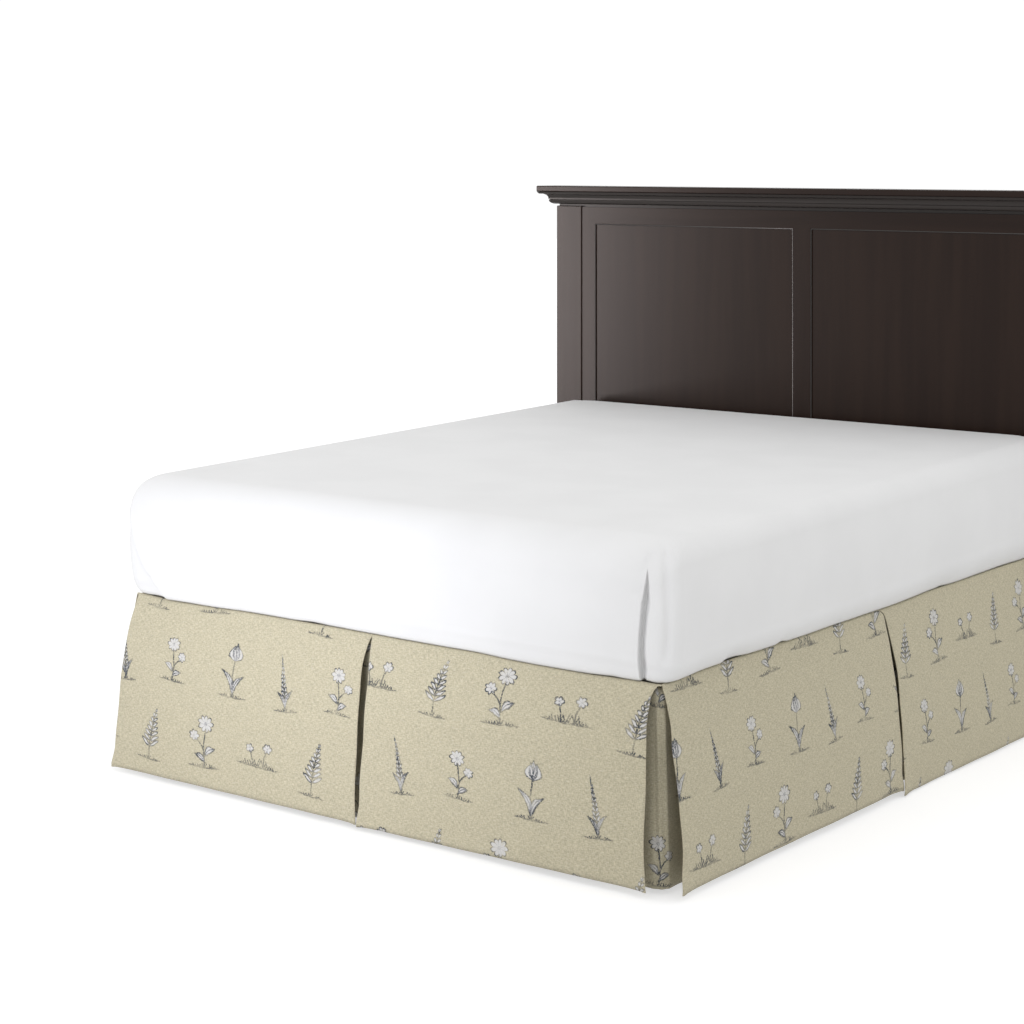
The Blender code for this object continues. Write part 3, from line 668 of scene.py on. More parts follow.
def make_panel(name, finish):
    """One outer panel of the skirt: a lip on the deck, a turn over the rim, and a flared fall."""
    side, start, end, shoulder, _, _ = PANELS[name]
    top = RIM_TOP[side]
    profiles = [fall_profile(top, RIM_TURN, 0.0, flare, shoulder, 90.0, HEM_HEIGHT + rise)
                for _, _, flare, _, rise in (start, end)]
    flat_lip = LIP_LENGTH - RIM_TURN
    lip = [(mix(-LIP_LENGTH, -RIM_TURN, share), mix(DECK_TOP, top, share ** 2), -flat_lip * (1.0 - share))
           for share in (step / LIP_ROWS for step in range(LIP_ROWS))]
    rows = LIP_ROWS + len(profiles[0]) - 1
    bm = cloth_grid(PANEL_COLUMNS, rows, lambda column, row: place_on_panel(name, profiles, lip, column, row))
    hang(f"panel_{name}", bm, finish, "printed_linen", side == "left")


UNDERLAY_PROFILE = fall_profile(ROLL_CENTER_Z + UNDERLAY_ROLL, UNDERLAY_ROLL, NEST, UNDERLAY_FLARE, 1.5, 80.0,
                                HEM_HEIGHT)
UNDERLAY_COLUMNS = 36
TURN_COLUMNS, WING_COLUMNS = 24, 14
DECK_COLUMNS, DECK_ROWS = 24, 32


def make_straight_underlay(side, finish):
    """The cloth behind the opening in the middle of one edge."""
    along_edge, out_of_edge, reach, _ = EDGES[side]

    def place(column, row):
        out, z, down = UNDERLAY_PROFILE[row]
        along = mix(-UNDERLAY_WING, UNDERLAY_WING, column / UNDERLAY_COLUMNS)
        out += 0.001 * math.sin(70.0 * along + 5.0 * z)
        point = along_edge * along + out_of_edge * (reach + out)
        point.z = z
        return point, (along, -down)

    bm = cloth_grid(UNDERLAY_COLUMNS, len(UNDERLAY_PROFILE) - 1, place)
    hang(f"underlay_{side}", bm, finish, "printed_linen_underlay", side == "left")


def make_corner_underlay(name, hand, finish):
    """The cloth bent round one foot corner, behind the opening there; hand is +1 right, -1 left."""
    center = Vector((HALF_WIDTH - PANEL_ROLL, -HALF_LENGTH + PANEL_ROLL, 0.0))

    def place(column, row):
        out, z, down = UNDERLAY_PROFILE[row]
        out += 0.0011 * math.sin(0.55 * column + 9.0 * z) * smooth(down / 0.1)
        turned = math.radians(90.0 * min(max(column - WING_COLUMNS, 0.0), TURN_COLUMNS) / TURN_COLUMNS)
        angle = turned - math.pi / 2
        point = center + Vector((math.cos(angle), math.sin(angle), 0.0)) * (PANEL_ROLL + out)
        before = max(WING_COLUMNS - column, 0.0) * UNDERLAY_WING / WING_COLUMNS
        after = max(column - WING_COLUMNS - TURN_COLUMNS, 0.0) * UNDERLAY_WING / WING_COLUMNS
        along = after - before + turned * (PANEL_ROLL + UNDERLAY_FLARE)
        return Vector((hand * (point.x - before), point.y + after, z)), (hand * along, -down)

    bm = cloth_grid(TURN_COLUMNS + 2 * WING_COLUMNS, len(UNDERLAY_PROFILE) - 1, place)
    hang(f"underlay_corner_{name}", bm, finish, "printed_linen_underlay", hand < 0)


def make_deck(finish):
    """The flat cloth between the box spring and the mattress that the panels are sewn to."""
    low, high = (corner - BED_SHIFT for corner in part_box("skirt_deck"))

    def place(column, row):
        x, y = mix(low.x, high.x, column / DECK_COLUMNS), mix(high.y, low.y, row / DECK_ROWS)
        return Vector((x, y, high.z)), (x, y)

    piece = add_piece("deck", cloth_grid(DECK_COLUMNS, DECK_ROWS, place), [finish], "deck_cloth", "skirt_deck")
    thicken(piece, CLOTH)


# ---- Mattress and sheet --------------------------------------------------------------------------

# Folds at the sheet's foot corners, as places along the foot at their heights: the two edges of the open
# slit at the right corner, and the edge and the crease of the flap at the left one
SLIT_LEFT = tenths((4300, 7390), (4450, 7285), (4540, 7178), (4680, 7082), (4900, 7042), (5420, 7036), (6035, 7100),
    (6500, 7195), (6760, 7247))
SLIT_RIGHT = tenths((4300, 7420), (4450, 7375), (4600, 7282), (5070, 7188), (5590, 7202), (6120, 7268), (6470, 7275),
    (6760, 7252))
FLAP_EDGE = tenths((4520, -6686), (4866, -6898), (5239, -7122), (5941, -7434), (6546, -7800))
FLAP_CREASE = tenths((4451, -6642), (4723, -6847), (5374, -7033), (5791, -7088), (6347, -7260))
FLAP_TOP, FLAP_GROWS = 0.668, 0.07
FLAP_STANDS, FLAP_SETTLES = 0.0085, 0.11
# The flap's fold from its edge, under it and back over: (place, share of how far the flap stands out)
FLAP_FOLD = ((0.002, 0.0), (0.008, 0.03), (0.007, 0.35), (0.0005, 0.6), (-0.0004, 0.85), (0.002, 1.0))
# The cloth folded in at the slit, in its widths: from its left edge, back under it, and out to the right
SLIT_FOLD = ((0.0, -0.08), (-0.14, -0.5), (-0.26, -1.3), (-0.02, -1.45), (0.38, -1.0), (0.85, -0.45), (1.2, -0.08))


# Levels of the skin in each part of its height, and columns along the head, the left side, the right
# side and the stretches of the foot: before the flap, between flap and slit, and after the slit
BOTTOM_LEVELS, SIDE_LEVELS, TOP_LEVELS = 9, 30, 14
FLAT_LEVELS = (0.03, 0.08, 0.16, 0.28, 0.44, 0.62, 0.8, 1.0)
HEAD_COLUMNS, LEFT_COLUMNS, RIGHT_COLUMNS = 10, 40, 64
BEFORE_FLAP, BETWEEN, AFTER_SLIT = 14, 47, 18


def skin_levels():
    """Levels up the mattress's skin, from the tucked edge under it to the middle of its top."""
    levels = [("bottom", mix(TUCK_ANGLE, 90.0, step / BOTTOM_LEVELS)) for step in range(BOTTOM_LEVELS + 1)]
    levels += [("side", step / SIDE_LEVELS) for step in range(1, SIDE_LEVELS)]
    levels += [("top", 90.0 * step / TOP_LEVELS) for step in range(TOP_LEVELS + 1)]
    return levels + [("flat", share) for share in FLAT_LEVELS]


FOOT_CROWN = 0.7
SIDE_CROWN = MATTRESS_HALF_WIDTH - 0.05
SIDE_SPAN = (-0.976, 0.968)
TIGHTEST_CORNER = 0.02


def level_shape(level, grow, top_radius, deepest, bottom_radius=BOTTOM_RADIUS):
    """Inset from the widest outline, and height, of a skin that stands grow outside the mattress."""
    kind, amount = level
    low, high = MATTRESS_BOTTOM + bottom_radius, MATTRESS_TOP - top_radius
    if kind == "side":
        return -grow - MATTRESS_BULGE * math.sin(math.pi * amount), mix(low, high, amount)
    if kind == "flat":
        return mix(top_radius, deepest, amount), MATTRESS_TOP + grow
    angle = math.radians(amount)
    if kind == "bottom":
        reach = bottom_radius + grow
        return bottom_radius - reach * math.sin(angle), low - reach * math.cos(angle)
    reach = top_radius + grow
    return top_radius - reach * math.cos(angle), high + reach * math.sin(angle)


def skin_point(level, grow, hand, stretch, amount):
    """A point on the skin and its outward direction. Along the foot, amount runs from -1 to 1 with
    both corners; along a side or the head it runs from 0 at the foot, or at the side, to 1."""
    place = {"side": mix(*SIDE_SPAN, amount), "head": HALF_LENGTH}.get(stretch, -HALF_LENGTH)
    rounded = (through(SIDE_RIM, place) - 0.4235) / 0.353
    side_inset, side_z = level_shape(level, grow, SIDE_TOP_RADIUS, SIDE_CROWN, rounded)
    foot_inset, foot_z = level_shape(level, grow, FOOT_TOP_RADIUS, FOOT_CROWN)
    half_x = MATTRESS_HALF_WIDTH - side_inset
    foot_y, head_y = -MATTRESS_HALF_LENGTH + foot_inset, HALF_LENGTH - side_inset
    radius = max(MATTRESS_CORNER - 0.5 * side_inset, TIGHTEST_CORNER)
    straight, arc = half_x - radius, radius * math.pi / 2
    end_y, inward = (head_y, -1.0) if stretch == "head" else (foot_y, 1.0)
    if stretch == "side":
        point = Vector((hand * half_x, mix(foot_y + radius, head_y - radius, amount), side_z))
        ray = Vector((hand, 0.0, 0.0))
    else:
        run = abs(amount) * (straight + arc) if stretch == "foot" else (1.0 - amount) * (straight + arc)
        sign = math.copysign(1.0, amount) if stretch == "foot" else hand
        angle = max(run - straight, 0.0) / radius
        ray = Vector((sign * math.sin(angle), -inward * math.cos(angle), 0.0))
        center = Vector((sign * min(run, straight), end_y + inward * radius, 0.0))
        point = center + ray * radius
        point.z = mix(side_z, foot_z, max(-ray.y, 0.0) ** 2)
    rise = (side_z - MATTRESS_BOTTOM) / (MATTRESS_TOP - MATTRESS_BOTTOM)
    point.z += MATTRESS_LEAN * rise * point.y / HALF_LENGTH
    return point, ray


FOOT_REACH = MATTRESS_HALF_WIDTH - MATTRESS_CORNER + MATTRESS_CORNER * math.pi / 2


def foot_columns(z):
    """Places along the foot (distance from its middle, how far each stands out) at a height."""
    flap = through(FLAP_EDGE, z)
    raised = FLAP_STANDS * smooth((FLAP_TOP - z) / FLAP_GROWS)
    folded = raised / FLAP_STANDS
    columns = [(mix(-FOOT_REACH, flap - 0.006, step / BEFORE_FLAP), 0.0) for step in range(BEFORE_FLAP + 1)]
    columns += [(flap + mix(-0.004 + 0.0016 * step, place, folded), share * raised)
                for step, (place, share) in enumerate(FLAP_FOLD)]
    left, right = through(SLIT_LEFT, z), through(SLIT_RIGHT, z)
    inside = SLIT_LEFT[0][0] < z < SLIT_LEFT[-1][0]
    width = max(right - left, 0.0) if inside else 0.0
    left = min(left, right)
    start, stop = flap + 0.01, left - 0.012
    for step in range(BETWEEN + 1):
        place = mix(start, stop, step / BETWEEN)
        columns.append((place, raised * (1.0 - smooth((place - start) / FLAP_SETTLES))))
    turn = min(0.1 * width, 0.0012)
    columns += [(left - 0.006, 0.4 * turn), (left - 0.0025, 0.7 * turn), (left - 0.0006, 0.3 * turn)]
    for step, (across, depth) in enumerate(SLIT_FOLD):
        columns.append((left + across * width + 0.0001 * step, depth * width))
    right = max(right, left) + 0.4 * width
    columns += [(right + 0.0014, 0.0), (right + 0.003, 0.0)]
    return columns + [(mix(right + 0.006, FOOT_REACH, step / AFTER_SLIT), 0.0) for step in range(AFTER_SLIT + 1)]


def skin_columns(z):
    """Every column round the skin at a height: hand, stretch, amount and depth."""
    columns = [(-1, "head", 1.0 - step / HEAD_COLUMNS, 0.0) for step in range(HEAD_COLUMNS)]
    columns += [(-1, "side", 1.0 - step / LEFT_COLUMNS, 0.0) for step in range(LEFT_COLUMNS)]
    columns += [(0, "foot", place / FOOT_REACH, depth) for place, depth in foot_columns(z)]
    columns += [(1, "side", step / RIGHT_COLUMNS, 0.0) for step in range(1, RIGHT_COLUMNS + 1)]
    return columns + [(1, "head", step / HEAD_COLUMNS, 0.0) for step in range(1, HEAD_COLUMNS + 1)]


# Where the sheet's lower edge lifts off the skirt: stretch, start, highest place, end and height
LIFTS = (
    ("side", 0.1, 0.111, 0.16, 0.0064), ("side", 0.222, 0.232, 0.248, 0.0042), ("side", 0.655, 0.672, 0.695, 0.0022),
    ("foot", -0.3, -0.235, -0.165, 0.0022), ("foot", 0.76, 0.79, 0.82, 0.0026),
    ("foot", -0.905, -0.86, -0.81, 0.0022), ("foot", 0.88, 0.905, 0.95, 0.0036),
)
LOW_ROWS_TOP = 0.47
HUG_OUT, HUG_FROM = 0.0068, 0.4433


# Creases down the foot: height, place, reach, and where each starts and ends with the rise of both. The
# last two stand by the flap's crease, and their places count from it
PULLED_IN = 0.0042
CREASES = (
    (-0.0068, 0.769, 0.014, 0.47, 0.05, 0.745, 0.05), (0.0013, 0.748, 0.015, 0.46, 0.05, 0.7, 0.04),
    (-0.0014, 0.0, 0.006, 0.45, 0.03, 0.65, 0.05), (0.001, -0.011, 0.012, 0.45, 0.03, 0.65, 0.05),
)


def sheet_relief(point, hand, stretch, amount):
    """How far the sheet stands out of its even shape: tucks, creases and the pulled corner."""
    z = point.z
    low = smooth((0.52 - z) / 0.09)
    out = 0.0
    if stretch == "foot":
        place = amount * FOOT_REACH
        out += low * (0.0012 * math.sin(11.0 * place + 0.6) + 0.0008 * math.sin(27.0 * place + 2.0))
        arc = math.hypot((place - 0.758) / 0.054, (z - 0.64) / 0.0765)
        out -= PULLED_IN * smooth((1.0 - arc) / 0.08) * smooth((z - 0.56) / 0.09) * smooth((0.8 - place) / 0.03)
        crease = through(FLAP_CREASE, z)
        for height, middle, reach, low_end, rise, high_end, fall in CREASES:
            middle += crease if middle <= 0.0 else 0.0
            out += height * bump(place, middle, reach) * smooth((z - low_end) / rise) * smooth((high_end - z) / fall)
        out += 0.006 * bump(place, -0.79, 0.045) * bump(z, 0.648, 0.05)
    elif stretch == "side":
        out += low * (0.001 * math.sin(26.0 * amount + hand) + 0.0006 * math.sin(61.0 * amount + 1.0 + hand))
    return out


def sheet_lift(hand, stretch, amount, z):
    """How far the sheet's lower edge is lifted at a place."""
    lifted = 0.0
    for where, start, highest, end, height in LIFTS:
        if where == stretch and (where == "foot" or hand > 0):
            lifted += height * smooth((amount - start) / (highest - start)) * smooth((end - amount) / (end - highest))
    return lifted * smooth((0.5 - z) / 0.07)


def skin_mesh(levels, grow, shape):
    """The skin's mesh; shape(level, column) moves each point out of its even place."""
    table = []
    for level in levels:
        height = level_shape(level, 0.0, FOOT_TOP_RADIUS, FOOT_CROWN)[1]
        height -= MATTRESS_LEAN * (height - MATTRESS_BOTTOM) / (MATTRESS_TOP - MATTRESS_BOTTOM)
        row = []
        for hand, stretch, amount, depth in skin_columns(height):
            point, ray = skin_point(level, grow, hand, stretch, amount)
            row.append(shape(point, ray, hand, stretch, amount, depth))
        table.append(row)
    columns, rows = len(table[0]) - 1, len(table) - 1
    bm = cloth_grid(columns, rows, lambda column, row: (table[rows - row][column], (0.0, 0.0)))
    bmesh.ops.remove_doubles(bm, verts=bm.verts, dist=WELD)
    top = max(point.z for point in table[-1])
    rim = [edge for edge in open_edges(bm) if min(vert.co.z for vert in edge.verts) > top - 0.04]
    bmesh.ops.contextual_create(bm, geom=rim)
    return bm


def make_sheet(finish):
    """The smooth sheet over the mattress, tucked under it, folded at its two foot corners."""
    def shape(point, ray, hand, stretch, amount, depth):
        out = depth + sheet_relief(point, hand, stretch, amount)
        lift = sheet_lift(hand, stretch, amount, point.z)
        hug = smooth((LOW_ROWS_TOP - point.z) / 0.026) * max(-ray.y, 0.0) ** 2 if stretch == "foot" else 0.0
        out += HUG_OUT * hug - 0.4 * lift
        down = (HUG_FROM - through(FOOT_RIM, amount * FOOT_REACH)) * hug if hug else 0.0
        return point + ray * out + Vector((0.0, 0.0, lift - down))

    bm = skin_mesh(skin_levels(), SHEET_STANDS_OFF, shape)
    piece = add_piece("sheet", bm, [finish], "white_sheet", "bed_sheet")
    thicken(piece, SHEET_CLOTH)


def make_mattress(finish):
    """The mattress under the sheet, drawn in a little where the sheet's corners are folded in."""
    def shape(point, ray, hand, stretch, amount, depth):
        inset = 0.0
        if stretch == "foot":
            place = amount * FOOT_REACH
            inset = 0.042 * bump(place, 0.722, 0.055) + 0.013 * bump(place, 0.778, 0.045)
        inset *= smooth((0.72 - point.z) / 0.05)
        return point - ray * (inset + 0.003 * smooth((0.5 - point.z) / 0.03))

    levels = [("bottom", 0.0), ("bottom", 18.0), *skin_levels()]
    bm = skin_mesh(levels, -0.001, shape)
    bmesh.ops.contextual_create(bm, geom=open_edges(bm))
    piece = add_piece("mattress_pad", bm, [finish], "mattress_ticking", "mattress")


# ---- Wood, steel and their pieces ----------------------------------------------------------------

@effect("wood grain", "Place", "Broad Fine")
def grain(nodes, given):
    """Long soft grain along Z of the given place: broad tone, fine pores."""
    place = given["Place"]
    wander = nodes.stretched(place, (3.0, 3.0, 0.9), 2.0)
    shifted = nodes.vector("ADD", nodes.vector("MULTIPLY", place, (26.0, 26.0, 1.4)), nodes.join(wander, wander))
    return nodes.noise(shifted, 1.0, 3.0, 0.45), nodes.stretched(place, (420.0, 420.0, 9.0), 2.0, 0.6)


def wood_finish(name, settings, lying, rubbed=0.0):
    """Dark stained wood; lying turns its grain along the headboard, and the last argument is how far its colour is
    lightened towards a painted highlight.
    """
    made, nodes, shader = new_material(name, 0.26, 0.17)
    place = nodes.object_place()
    if lying:
        x, y, z = nodes.split(place)
        place = nodes.join(z, y, x)
    grown = grain(nodes, Place=place)
    # Both grain tones are lightened towards the painted highlight colour, by the share given.
    dark, light = (tinted(mix(part, wear_and_highlight, rubbed) for part, wear_and_highlight in zip(tone, settings.wood_rubbed))
                   for tone in (settings.wood_dark, settings.wood_light))
    color = nodes.blend(nodes.step(grown["Broad"], 0.3, 0.7), dark, light)
    color = nodes.blend(nodes.step(grown["Fine"], 0.62, 0.8, 0.0, 0.06), color, dark)
    nodes.feed(shader["Roughness"], nodes.step(grown["Fine"], 0.3, 0.8, 0.25, 0.27))
    lay_on(nodes, shader, color, grown["Fine"], 0.00001)
    return made


def steel_finish(name):
    """Black powder coat with its fine orange peel."""
    made, nodes, shader = new_material(name, 0.5, 0.5)
    place = nodes.object_place()
    wear_and_highlight = nodes.noise(place, 14.0, 3.0)
    nodes.feed(shader["Roughness"], nodes.step(wear_and_highlight, 0.3, 0.7, 0.42, 0.6))
    color = nodes.blend(nodes.step(wear_and_highlight, 0.35, 0.7), tinted((0.016, 0.016, 0.018)), tinted((0.034, 0.034, 0.037)))
    lay_on(nodes, shader, color, nodes.noise(place, 900.0), 0.0002)
    return made


# Crown moulding below the cap: (how far it stands out, height), from its neck over the bead and cove
CROWN_LINE = tenths(
    (-110, 13755), (-110, 13838), (6, 13841), (62, 13846), (112, 13866), (150, 13897), (172, 13935), (178, 13968),
    (172, 13982), (150, 13986), (150, 13994), (188, 13998), (189, 14035), (200, 14077), (225, 14115), (262, 14145),
    (300, 14160), (300, 14166), (402, 14168), (462, 14233))
POST_DEPTH = 0.07
HEADBOARD_HALF = 0.865


def make_crown(finish):
    """The moulded crown under the headboard's cap, with its bead and its cove, mitred at the ends."""
    back = HEADBOARD_FRONT + POST_DEPTH

    def place(column, row):
        out, z = CROWN_LINE[row]
        end = HEADBOARD_HALF + max(out, 0.4 * out)
        return Vector((-end if column % 4 < 2 else end, HEADBOARD_FRONT - out if column in (1, 2) else back, z))

    bm = grid(4, len(CROWN_LINE) - 1, place)
    bmesh.ops.remove_doubles(bm, verts=bm.verts, dist=WELD)
    bmesh.ops.holes_fill(bm, edges=open_edges(bm), sides=0)
    bmesh.ops.recalc_face_normals(bm, faces=bm.faces)
    piece = add_piece("crown_moulding", bm, [finish], "dark_wood", "headboard_crown")
    piece.data.set_sharp_from_angle(angle=math.radians(32.0))


# Headboard frame: the places across and up where its wood changes, and the steps down to its panels
# as (how far inwards, how far back), on the front and on the back
FRAME_ACROSS = (-0.7708, -0.7223, -0.0285, 0.0285, 0.7223, 0.7708)
FRAME_UP = (0.44, 0.56, 1.3235, 1.3752)
FRAME_FRONT, FRAME_BACK = 1.035, 1.069
STICKING_FRONT = ((0.0004, 0.0012), (0.0024, 0.0008), (0.0006, 0.0036))
# The step of the front sticking that takes the lighter material: a painted highlight along each panel's edges.
PAINTED_HIGHLIGHT_STEP = 1
STICKING_BACK = ((0.001, 0.0002), (0.0006, 0.0078))


def frame_face(place, steps, backwards):
    """One side of the headboard's frame: a flat board with two openings stepped in to the panels."""
    bm = grid(len(FRAME_ACROSS) - 1, len(FRAME_UP) - 1,
              lambda column, row: (FRAME_ACROSS[column], place, FRAME_UP[row]))
    for face in bm.faces:
        middle = face.calc_center_median()
        if abs(middle.x) < FRAME_ACROSS[4] and not FRAME_UP[1] < middle.z < FRAME_UP[2]:
            face.material_index = 1
    if backwards:
        bmesh.ops.reverse_faces(bm, faces=bm.faces)
    for side in (-1, 1):
        opening = [face for face in bm.faces if FRAME_UP[1] < face.calc_center_median().z < FRAME_UP[2]
                   and FRAME_ACROSS[3] < side * face.calc_center_median().x < FRAME_ACROSS[4]]
        for step, (inwards, back) in enumerate(steps):
            ring = bmesh.ops.inset_region(bm, faces=opening, thickness=inwards, depth=-back, use_even_offset=True)
            # That front step gets the third material, the painted highlight; the other steps get the upright grain.
            for face in ring["faces"]:
                face.material_index = 2 if step == PAINTED_HIGHLIGHT_STEP and not backwards else 0
    return bm


def make_headboard_frame(upright, lying, rubbed):
    """The headboard's frame with its two panels: stiles, rails and mullion with a bead round each panel; one front
    step of each bead is coloured as a painted highlight.
    """
    bm = frame_face(FRAME_FRONT, STICKING_FRONT, False)
    back = frame_face(FRAME_BACK, STICKING_BACK, True)
    mesh = bpy.data.meshes.new("back")
    back.to_mesh(mesh)
    back.free()
    bm.from_mesh(mesh)
    bpy.data.meshes.remove(mesh)
    bmesh.ops.bridge_loops(bm, edges=open_edges(bm))
    bmesh.ops.recalc_face_normals(bm, faces=bm.faces)
    piece = add_piece("headboard_frame", bm, [upright, lying, rubbed], "dark_wood", "headboard_stile_left",
                      "headboard_stile_right", "headboard_top_rail", "headboard_lower_rail", "headboard_mullion",
                      "headboard_panel_left", "headboard_panel_right")
    piece.data.set_sharp_from_angle(angle=math.radians(40.0))


def finish_nodes(names, finish):
    """Give CAD nodes that keep their shape a finish."""
    for name in names:
        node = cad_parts[name]
        node.data.materials.clear()
        node.data.materials.append(finish)


# ---- Settings ------------------------------------------------------------------------------------

class BEDSKIRT_PG_cloth(bpy.types.PropertyGroup):
    """Colours and threads of the skirt and the sheet"""
    ground: FloatVectorProperty(name="Ground", description="Colour of the linen", subtype="COLOR",
                                default=(0.5, 0.456, 0.33), min=0.0, max=1.0)
    fleck: FloatVectorProperty(name="Fleck", description="Colour of the linen's pale slubs", subtype="COLOR",
                               default=(0.66, 0.62, 0.5), min=0.0, max=1.0)
    ink: FloatVectorProperty(name="Ink", description="Colour of the drawn line", subtype="COLOR",
                             default=(0.02, 0.03, 0.048), min=0.0, max=1.0)
    fill: FloatVectorProperty(name="Fill", description="Colour inside petals and leaves", subtype="COLOR",
                              default=(0.62, 0.615, 0.62), min=0.0, max=1.0)
    white: FloatVectorProperty(name="White", description="Colour of the sheet", subtype="COLOR",
                               default=(0.745, 0.745, 0.745), min=0.0, max=1.0)
    thread_pitch: FloatProperty(name="Thread pitch", description="Distance between the linen's threads",
                                default=0.0016, unit="LENGTH", precision=5)


class BEDSKIRT_PG_bed(bpy.types.PropertyGroup):
    """Colours of the bed's hard parts"""
    wood_dark: FloatVectorProperty(name="Dark grain", description="Darkest stain of the headboard",
                                   subtype="COLOR", default=(0.015, 0.0068, 0.0042), min=0.0, max=1.0)
    wood_light: FloatVectorProperty(name="Light grain", description="Lightest stain of the headboard",
                                    subtype="COLOR", default=(0.02, 0.0096, 0.0059), min=0.0, max=1.0)
    # Painted highlight colour: it lightens the panels' bead step and the crown where light catches them.
    wood_rubbed: FloatVectorProperty(name="Painted highlight", description="Painted highlight on its panels' edges and on the crown",
                                     subtype="COLOR", default=(0.062, 0.057, 0.054), min=0.0, max=1.0)


class BEDSKIRT_PG_stage(bpy.types.PropertyGroup):
    """Camera and studio light"""
    lens: FloatProperty(name="Lens", description="Focal length", default=80.97, unit="CAMERA")
    turn: FloatProperty(name="Turn", description="How far round the foot's right corner the camera stands",
                        default=math.radians(40.7335), subtype="ANGLE")
    key_watts: FloatProperty(name="Key light", description="Power of the light before the foot", default=3.5,
                             subtype="POWER", unit="POWER")
    key_size: FloatVectorProperty(name="Key size", description="Width and height of that light", size=2,
                                  default=(1.3, 1.0), unit="LENGTH")
    overhead_watts: FloatProperty(name="Overhead light", description="Power of the light over the bed", default=1.5,
                                  subtype="POWER", unit="POWER")
    strip_watts: FloatProperty(name="Gloss strip", description="Power of the strip that the headboard shines with",
                               default=120.0, subtype="POWER", unit="POWER")
    sky: FloatProperty(name="Room light", description="Strength of the even light all round", default=1.05)
    floor_size: FloatProperty(name="Floor", description="Side of the floor", default=60.0, unit="LENGTH")


# ---- Operators -----------------------------------------------------------------------------------

class BEDSKIRT_OT_skirt(bpy.types.Operator):
    """Build the skirt's panels, underlays and deck"""
    bl_idname = "bedskirt.skirt"
    bl_label = "Build skirt"

    def execute(self, context):
        cloth = context.scene.bedskirt_cloth
        offsets = {"foot_left": (0.03, 0.02), "foot_right": (0.205, 0.15), "right_foot": (0.12, 0.06),
                   "right_head": (0.33, 0.17), "left_foot": (0.26, 0.11), "left_head": (0.07, 0.01)}
        for name in PANELS:
            make_panel(name, linen_finish(f"linen panel {name}", cloth, offsets[name]))
        # Both kinds of underlay take 0.84 of the linen's colour: painted shade for the deep pockets behind the panels.
        for side in EDGES:
            make_straight_underlay(side, linen_finish(f"linen underlay {side}", cloth, (0.1, 0.08), 0.84))
        for name, hand in (("right", 1), ("left", -1)):
            make_corner_underlay(name, hand, linen_finish(f"linen corner underlay {name}", cloth, (0.46, 0.245), 0.84))
        make_deck(plain_cloth("deck cloth", (0.62, 0.6, 0.52)))
        return {"FINISHED"}


class BEDSKIRT_OT_bedding(bpy.types.Operator):
    """Build the mattress and its sheet"""
    bl_idname = "bedskirt.bedding"
    bl_label = "Build mattress and sheet"

    def execute(self, context):
        make_mattress(plain_cloth("mattress ticking", (0.74, 0.73, 0.7)))
        make_sheet(white_finish("white cotton", context.scene.bedskirt_cloth))
        return {"FINISHED"}


class BEDSKIRT_OT_bed(bpy.types.Operator):
    """Finish the box spring, the steel frame and the headboard"""
    bl_idname = "bedskirt.bed"
    bl_label = "Finish bed"

    def execute(self, context):
        bed = context.scene.bedskirt_bed
        names = sorted(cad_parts)
        upright = wood_finish("dark wood, upright grain", bed, False)
        lying = wood_finish("dark wood, lying grain", bed, True)
        # The crown's colour is lifted 0.6 of the way to the painted highlight colour: painted light for the bright
        # bands of its cove and bead.
        make_crown(wood_finish("dark wood, crown", bed, True, 0.6))
        # The frame's third material is the painted highlight colour in full, for the lit step round each panel.
        make_headboard_frame(upright, lying, wood_finish("dark wood, rubbed edge", bed, False, 1.0))
        level = [name for name in names if name.startswith("headboard") and ("rail" in name or "cap" in name)]
        steel = [name for name in names if name.startswith(("frame_", "headboard_plate"))]
        standing = [name for name in names if name.startswith("headboard") and name not in level + steel]
        finish_nodes(level, lying)
        finish_nodes(standing, upright)
        finish_nodes(steel, steel_finish("black powder coat"))
        finish_nodes(["box_spring"], plain_cloth("box spring cloth", (0.6, 0.59, 0.56)))
        return {"FINISHED"}


class BEDSKIRT_OT_stage(bpy.types.Operator):
    """Set the floor, the camera and the studio light"""
    bl_idname = "bedskirt.stage"
    bl_label = "Set stage"

    def execute(self, context):
        stage = context.scene.bedskirt_stage
        make_floor(stage.floor_size)
        make_camera(stage)
        make_lights(stage)
        return {"FINISHED"}


# ---- Stage ---------------------------------------------------------------------------------------

def make_floor(size):
    """A plain pale floor."""
    bm = bmesh.new()
    bmesh.ops.create_grid(bm, x_segments=1, y_segments=1, size=size / 2.0)
    made, nodes, shader = new_material("pale floor", 0.9, 0.1)
    shader["Base Color"].default_value = (0.55, 0.55, 0.55, 1.0)
    shader["Emission Color"].default_value = (1.0, 1.0, 1.0, 1.0)
    nodes.feed(shader["Emission Strength"], nodes.get("ShaderNodeLightPath", output="Is Camera Ray") * 0.32 + 0.24)
    floor = add_mesh("floor", bm, [made])


CAMERA_PLACE = Vector((3.27, -5.179, 1.5435))
CAMERA_SHIFT = (0.23565, -0.34943)


def make_camera(stage):
    """A level camera at the foot's right corner."""
    data = bpy.data.cameras.new("camera")
    data.lens = stage.lens
    data.sensor_width = 36.0
    data.sensor_fit = "HORIZONTAL"
    data.shift_x, data.shift_y = CAMERA_SHIFT
    data.clip_end = 200.0
    camera = add_object("camera", data)
    camera.location = CAMERA_PLACE + BED_SHIFT
    camera.rotation_euler = (math.radians(90.0), 0.0, stage.turn)
    bpy.context.scene.camera = camera


def add_light(name, place, target, size, watts):
    """A soft panel of light at a place, turned to a target."""
    data = bpy.data.lights.new(name, "AREA")
    data.shape = "RECTANGLE"
    data.size, data.size_y = size
    data.energy = watts
    light = add_object(name, data)
    light.location = place
    light.rotation_euler = (Vector(target) - light.location).to_track_quat("-Z", "Y").to_euler()
    light.visible_camera = False
    return light


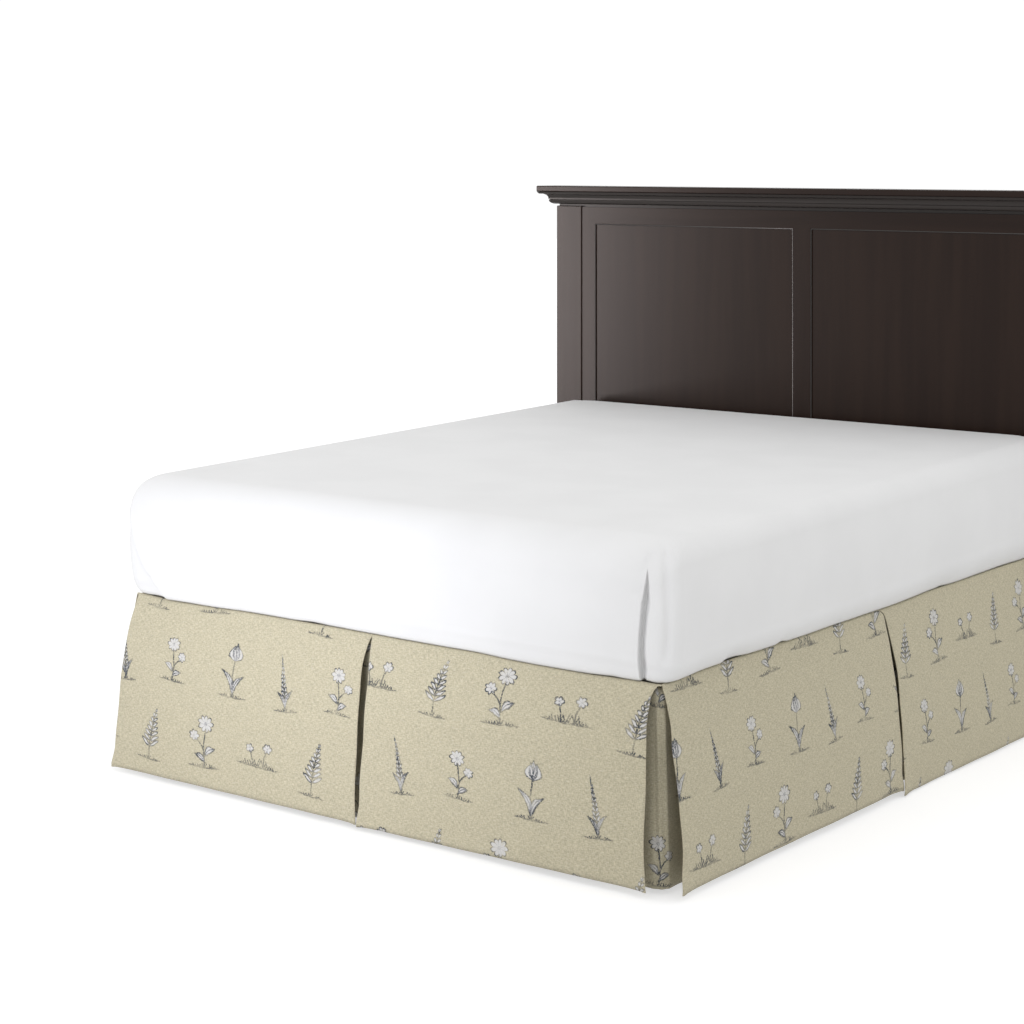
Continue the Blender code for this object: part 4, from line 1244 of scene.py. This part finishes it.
def make_lights(stage):
    """An even bright room seen as white, a soft light before the foot, one overhead, and a gloss strip."""
    world = bpy.data.worlds.new("studio")
    world.use_nodes = True
    nodes = Nodes(world.node_tree)
    background = world.node_tree.nodes["Background"].inputs
    background["Color"].default_value = (1.0, 1.0, 1.0, 1.0)
    nodes.feed(background["Strength"], nodes.get("ShaderNodeLightPath", output="Is Camera Ray") | stage.sky)
    bpy.context.scene.world = world
    key = add_light("key", (-0.1, -2.46, 0.48), (-0.35, -1.06, 0.48), stage.key_size, stage.key_watts)
    key.data.spread = math.radians(80.0)
    key.data.color = (0.98, 1.0, 1.1)
    key.visible_glossy = False
    add_light("overhead", (-1.2, -0.2, 3.25), (-1.2, -0.1999, 0.0), (1.6, 1.6), stage.overhead_watts)
    strip = add_light("gloss strip", (-3.6, -2.6, 1.1), (0.0, -0.6, 0.8), (0.9, 2.2), stage.strip_watts)
    strip.visible_diffuse = False
    strip.data.color = (1.0, 0.9, 0.88)
    bpy.context.scene.view_settings.view_transform = "Standard"


class BEDSKIRT_PT_panel(bpy.types.Panel):
    """The bed skirt's settings and steps"""
    bl_label = "Tailored bed skirt"
    bl_idname = "BEDSKIRT_PT_panel"
    bl_space_type = "VIEW_3D"
    bl_region_type = "UI"
    bl_category = "Bed skirt"

    def draw(self, context):
        for group in (context.scene.bedskirt_cloth, context.scene.bedskirt_bed, context.scene.bedskirt_stage):
            box = self.layout.box()
            for name in group.__annotations__:
                box.prop(group, name)
        for operator in OPERATORS:
            self.layout.operator(operator.bl_idname)


OPERATORS = (BEDSKIRT_OT_stage, BEDSKIRT_OT_skirt, BEDSKIRT_OT_bedding, BEDSKIRT_OT_bed)
SETTINGS = (BEDSKIRT_PG_cloth, BEDSKIRT_PG_bed, BEDSKIRT_PG_stage)


def register():
    """Make the settings, the operators and the panel known to Blender."""
    for made in (*SETTINGS, *OPERATORS, BEDSKIRT_PT_panel):
        bpy.utils.register_class(made)
    bpy.types.Scene.bedskirt_cloth = PointerProperty(type=BEDSKIRT_PG_cloth)
    bpy.types.Scene.bedskirt_bed = PointerProperty(type=BEDSKIRT_PG_bed)
    bpy.types.Scene.bedskirt_stage = PointerProperty(type=BEDSKIRT_PG_stage)


def unregister():
    """Take them away again, in reverse order."""
    del bpy.types.Scene.bedskirt_stage
    del bpy.types.Scene.bedskirt_bed
    del bpy.types.Scene.bedskirt_cloth
    for made in (BEDSKIRT_PT_panel, *reversed(OPERATORS), *reversed(SETTINGS)):
        bpy.utils.unregister_class(made)


def main():
    """Build the stage and every piece through the operators."""
    register()
    bpy.ops.bedskirt.stage()
    bpy.ops.bedskirt.skirt()
    bpy.ops.bedskirt.bedding()
    bpy.ops.bedskirt.bed()


if __name__ == "__main__":
    main()
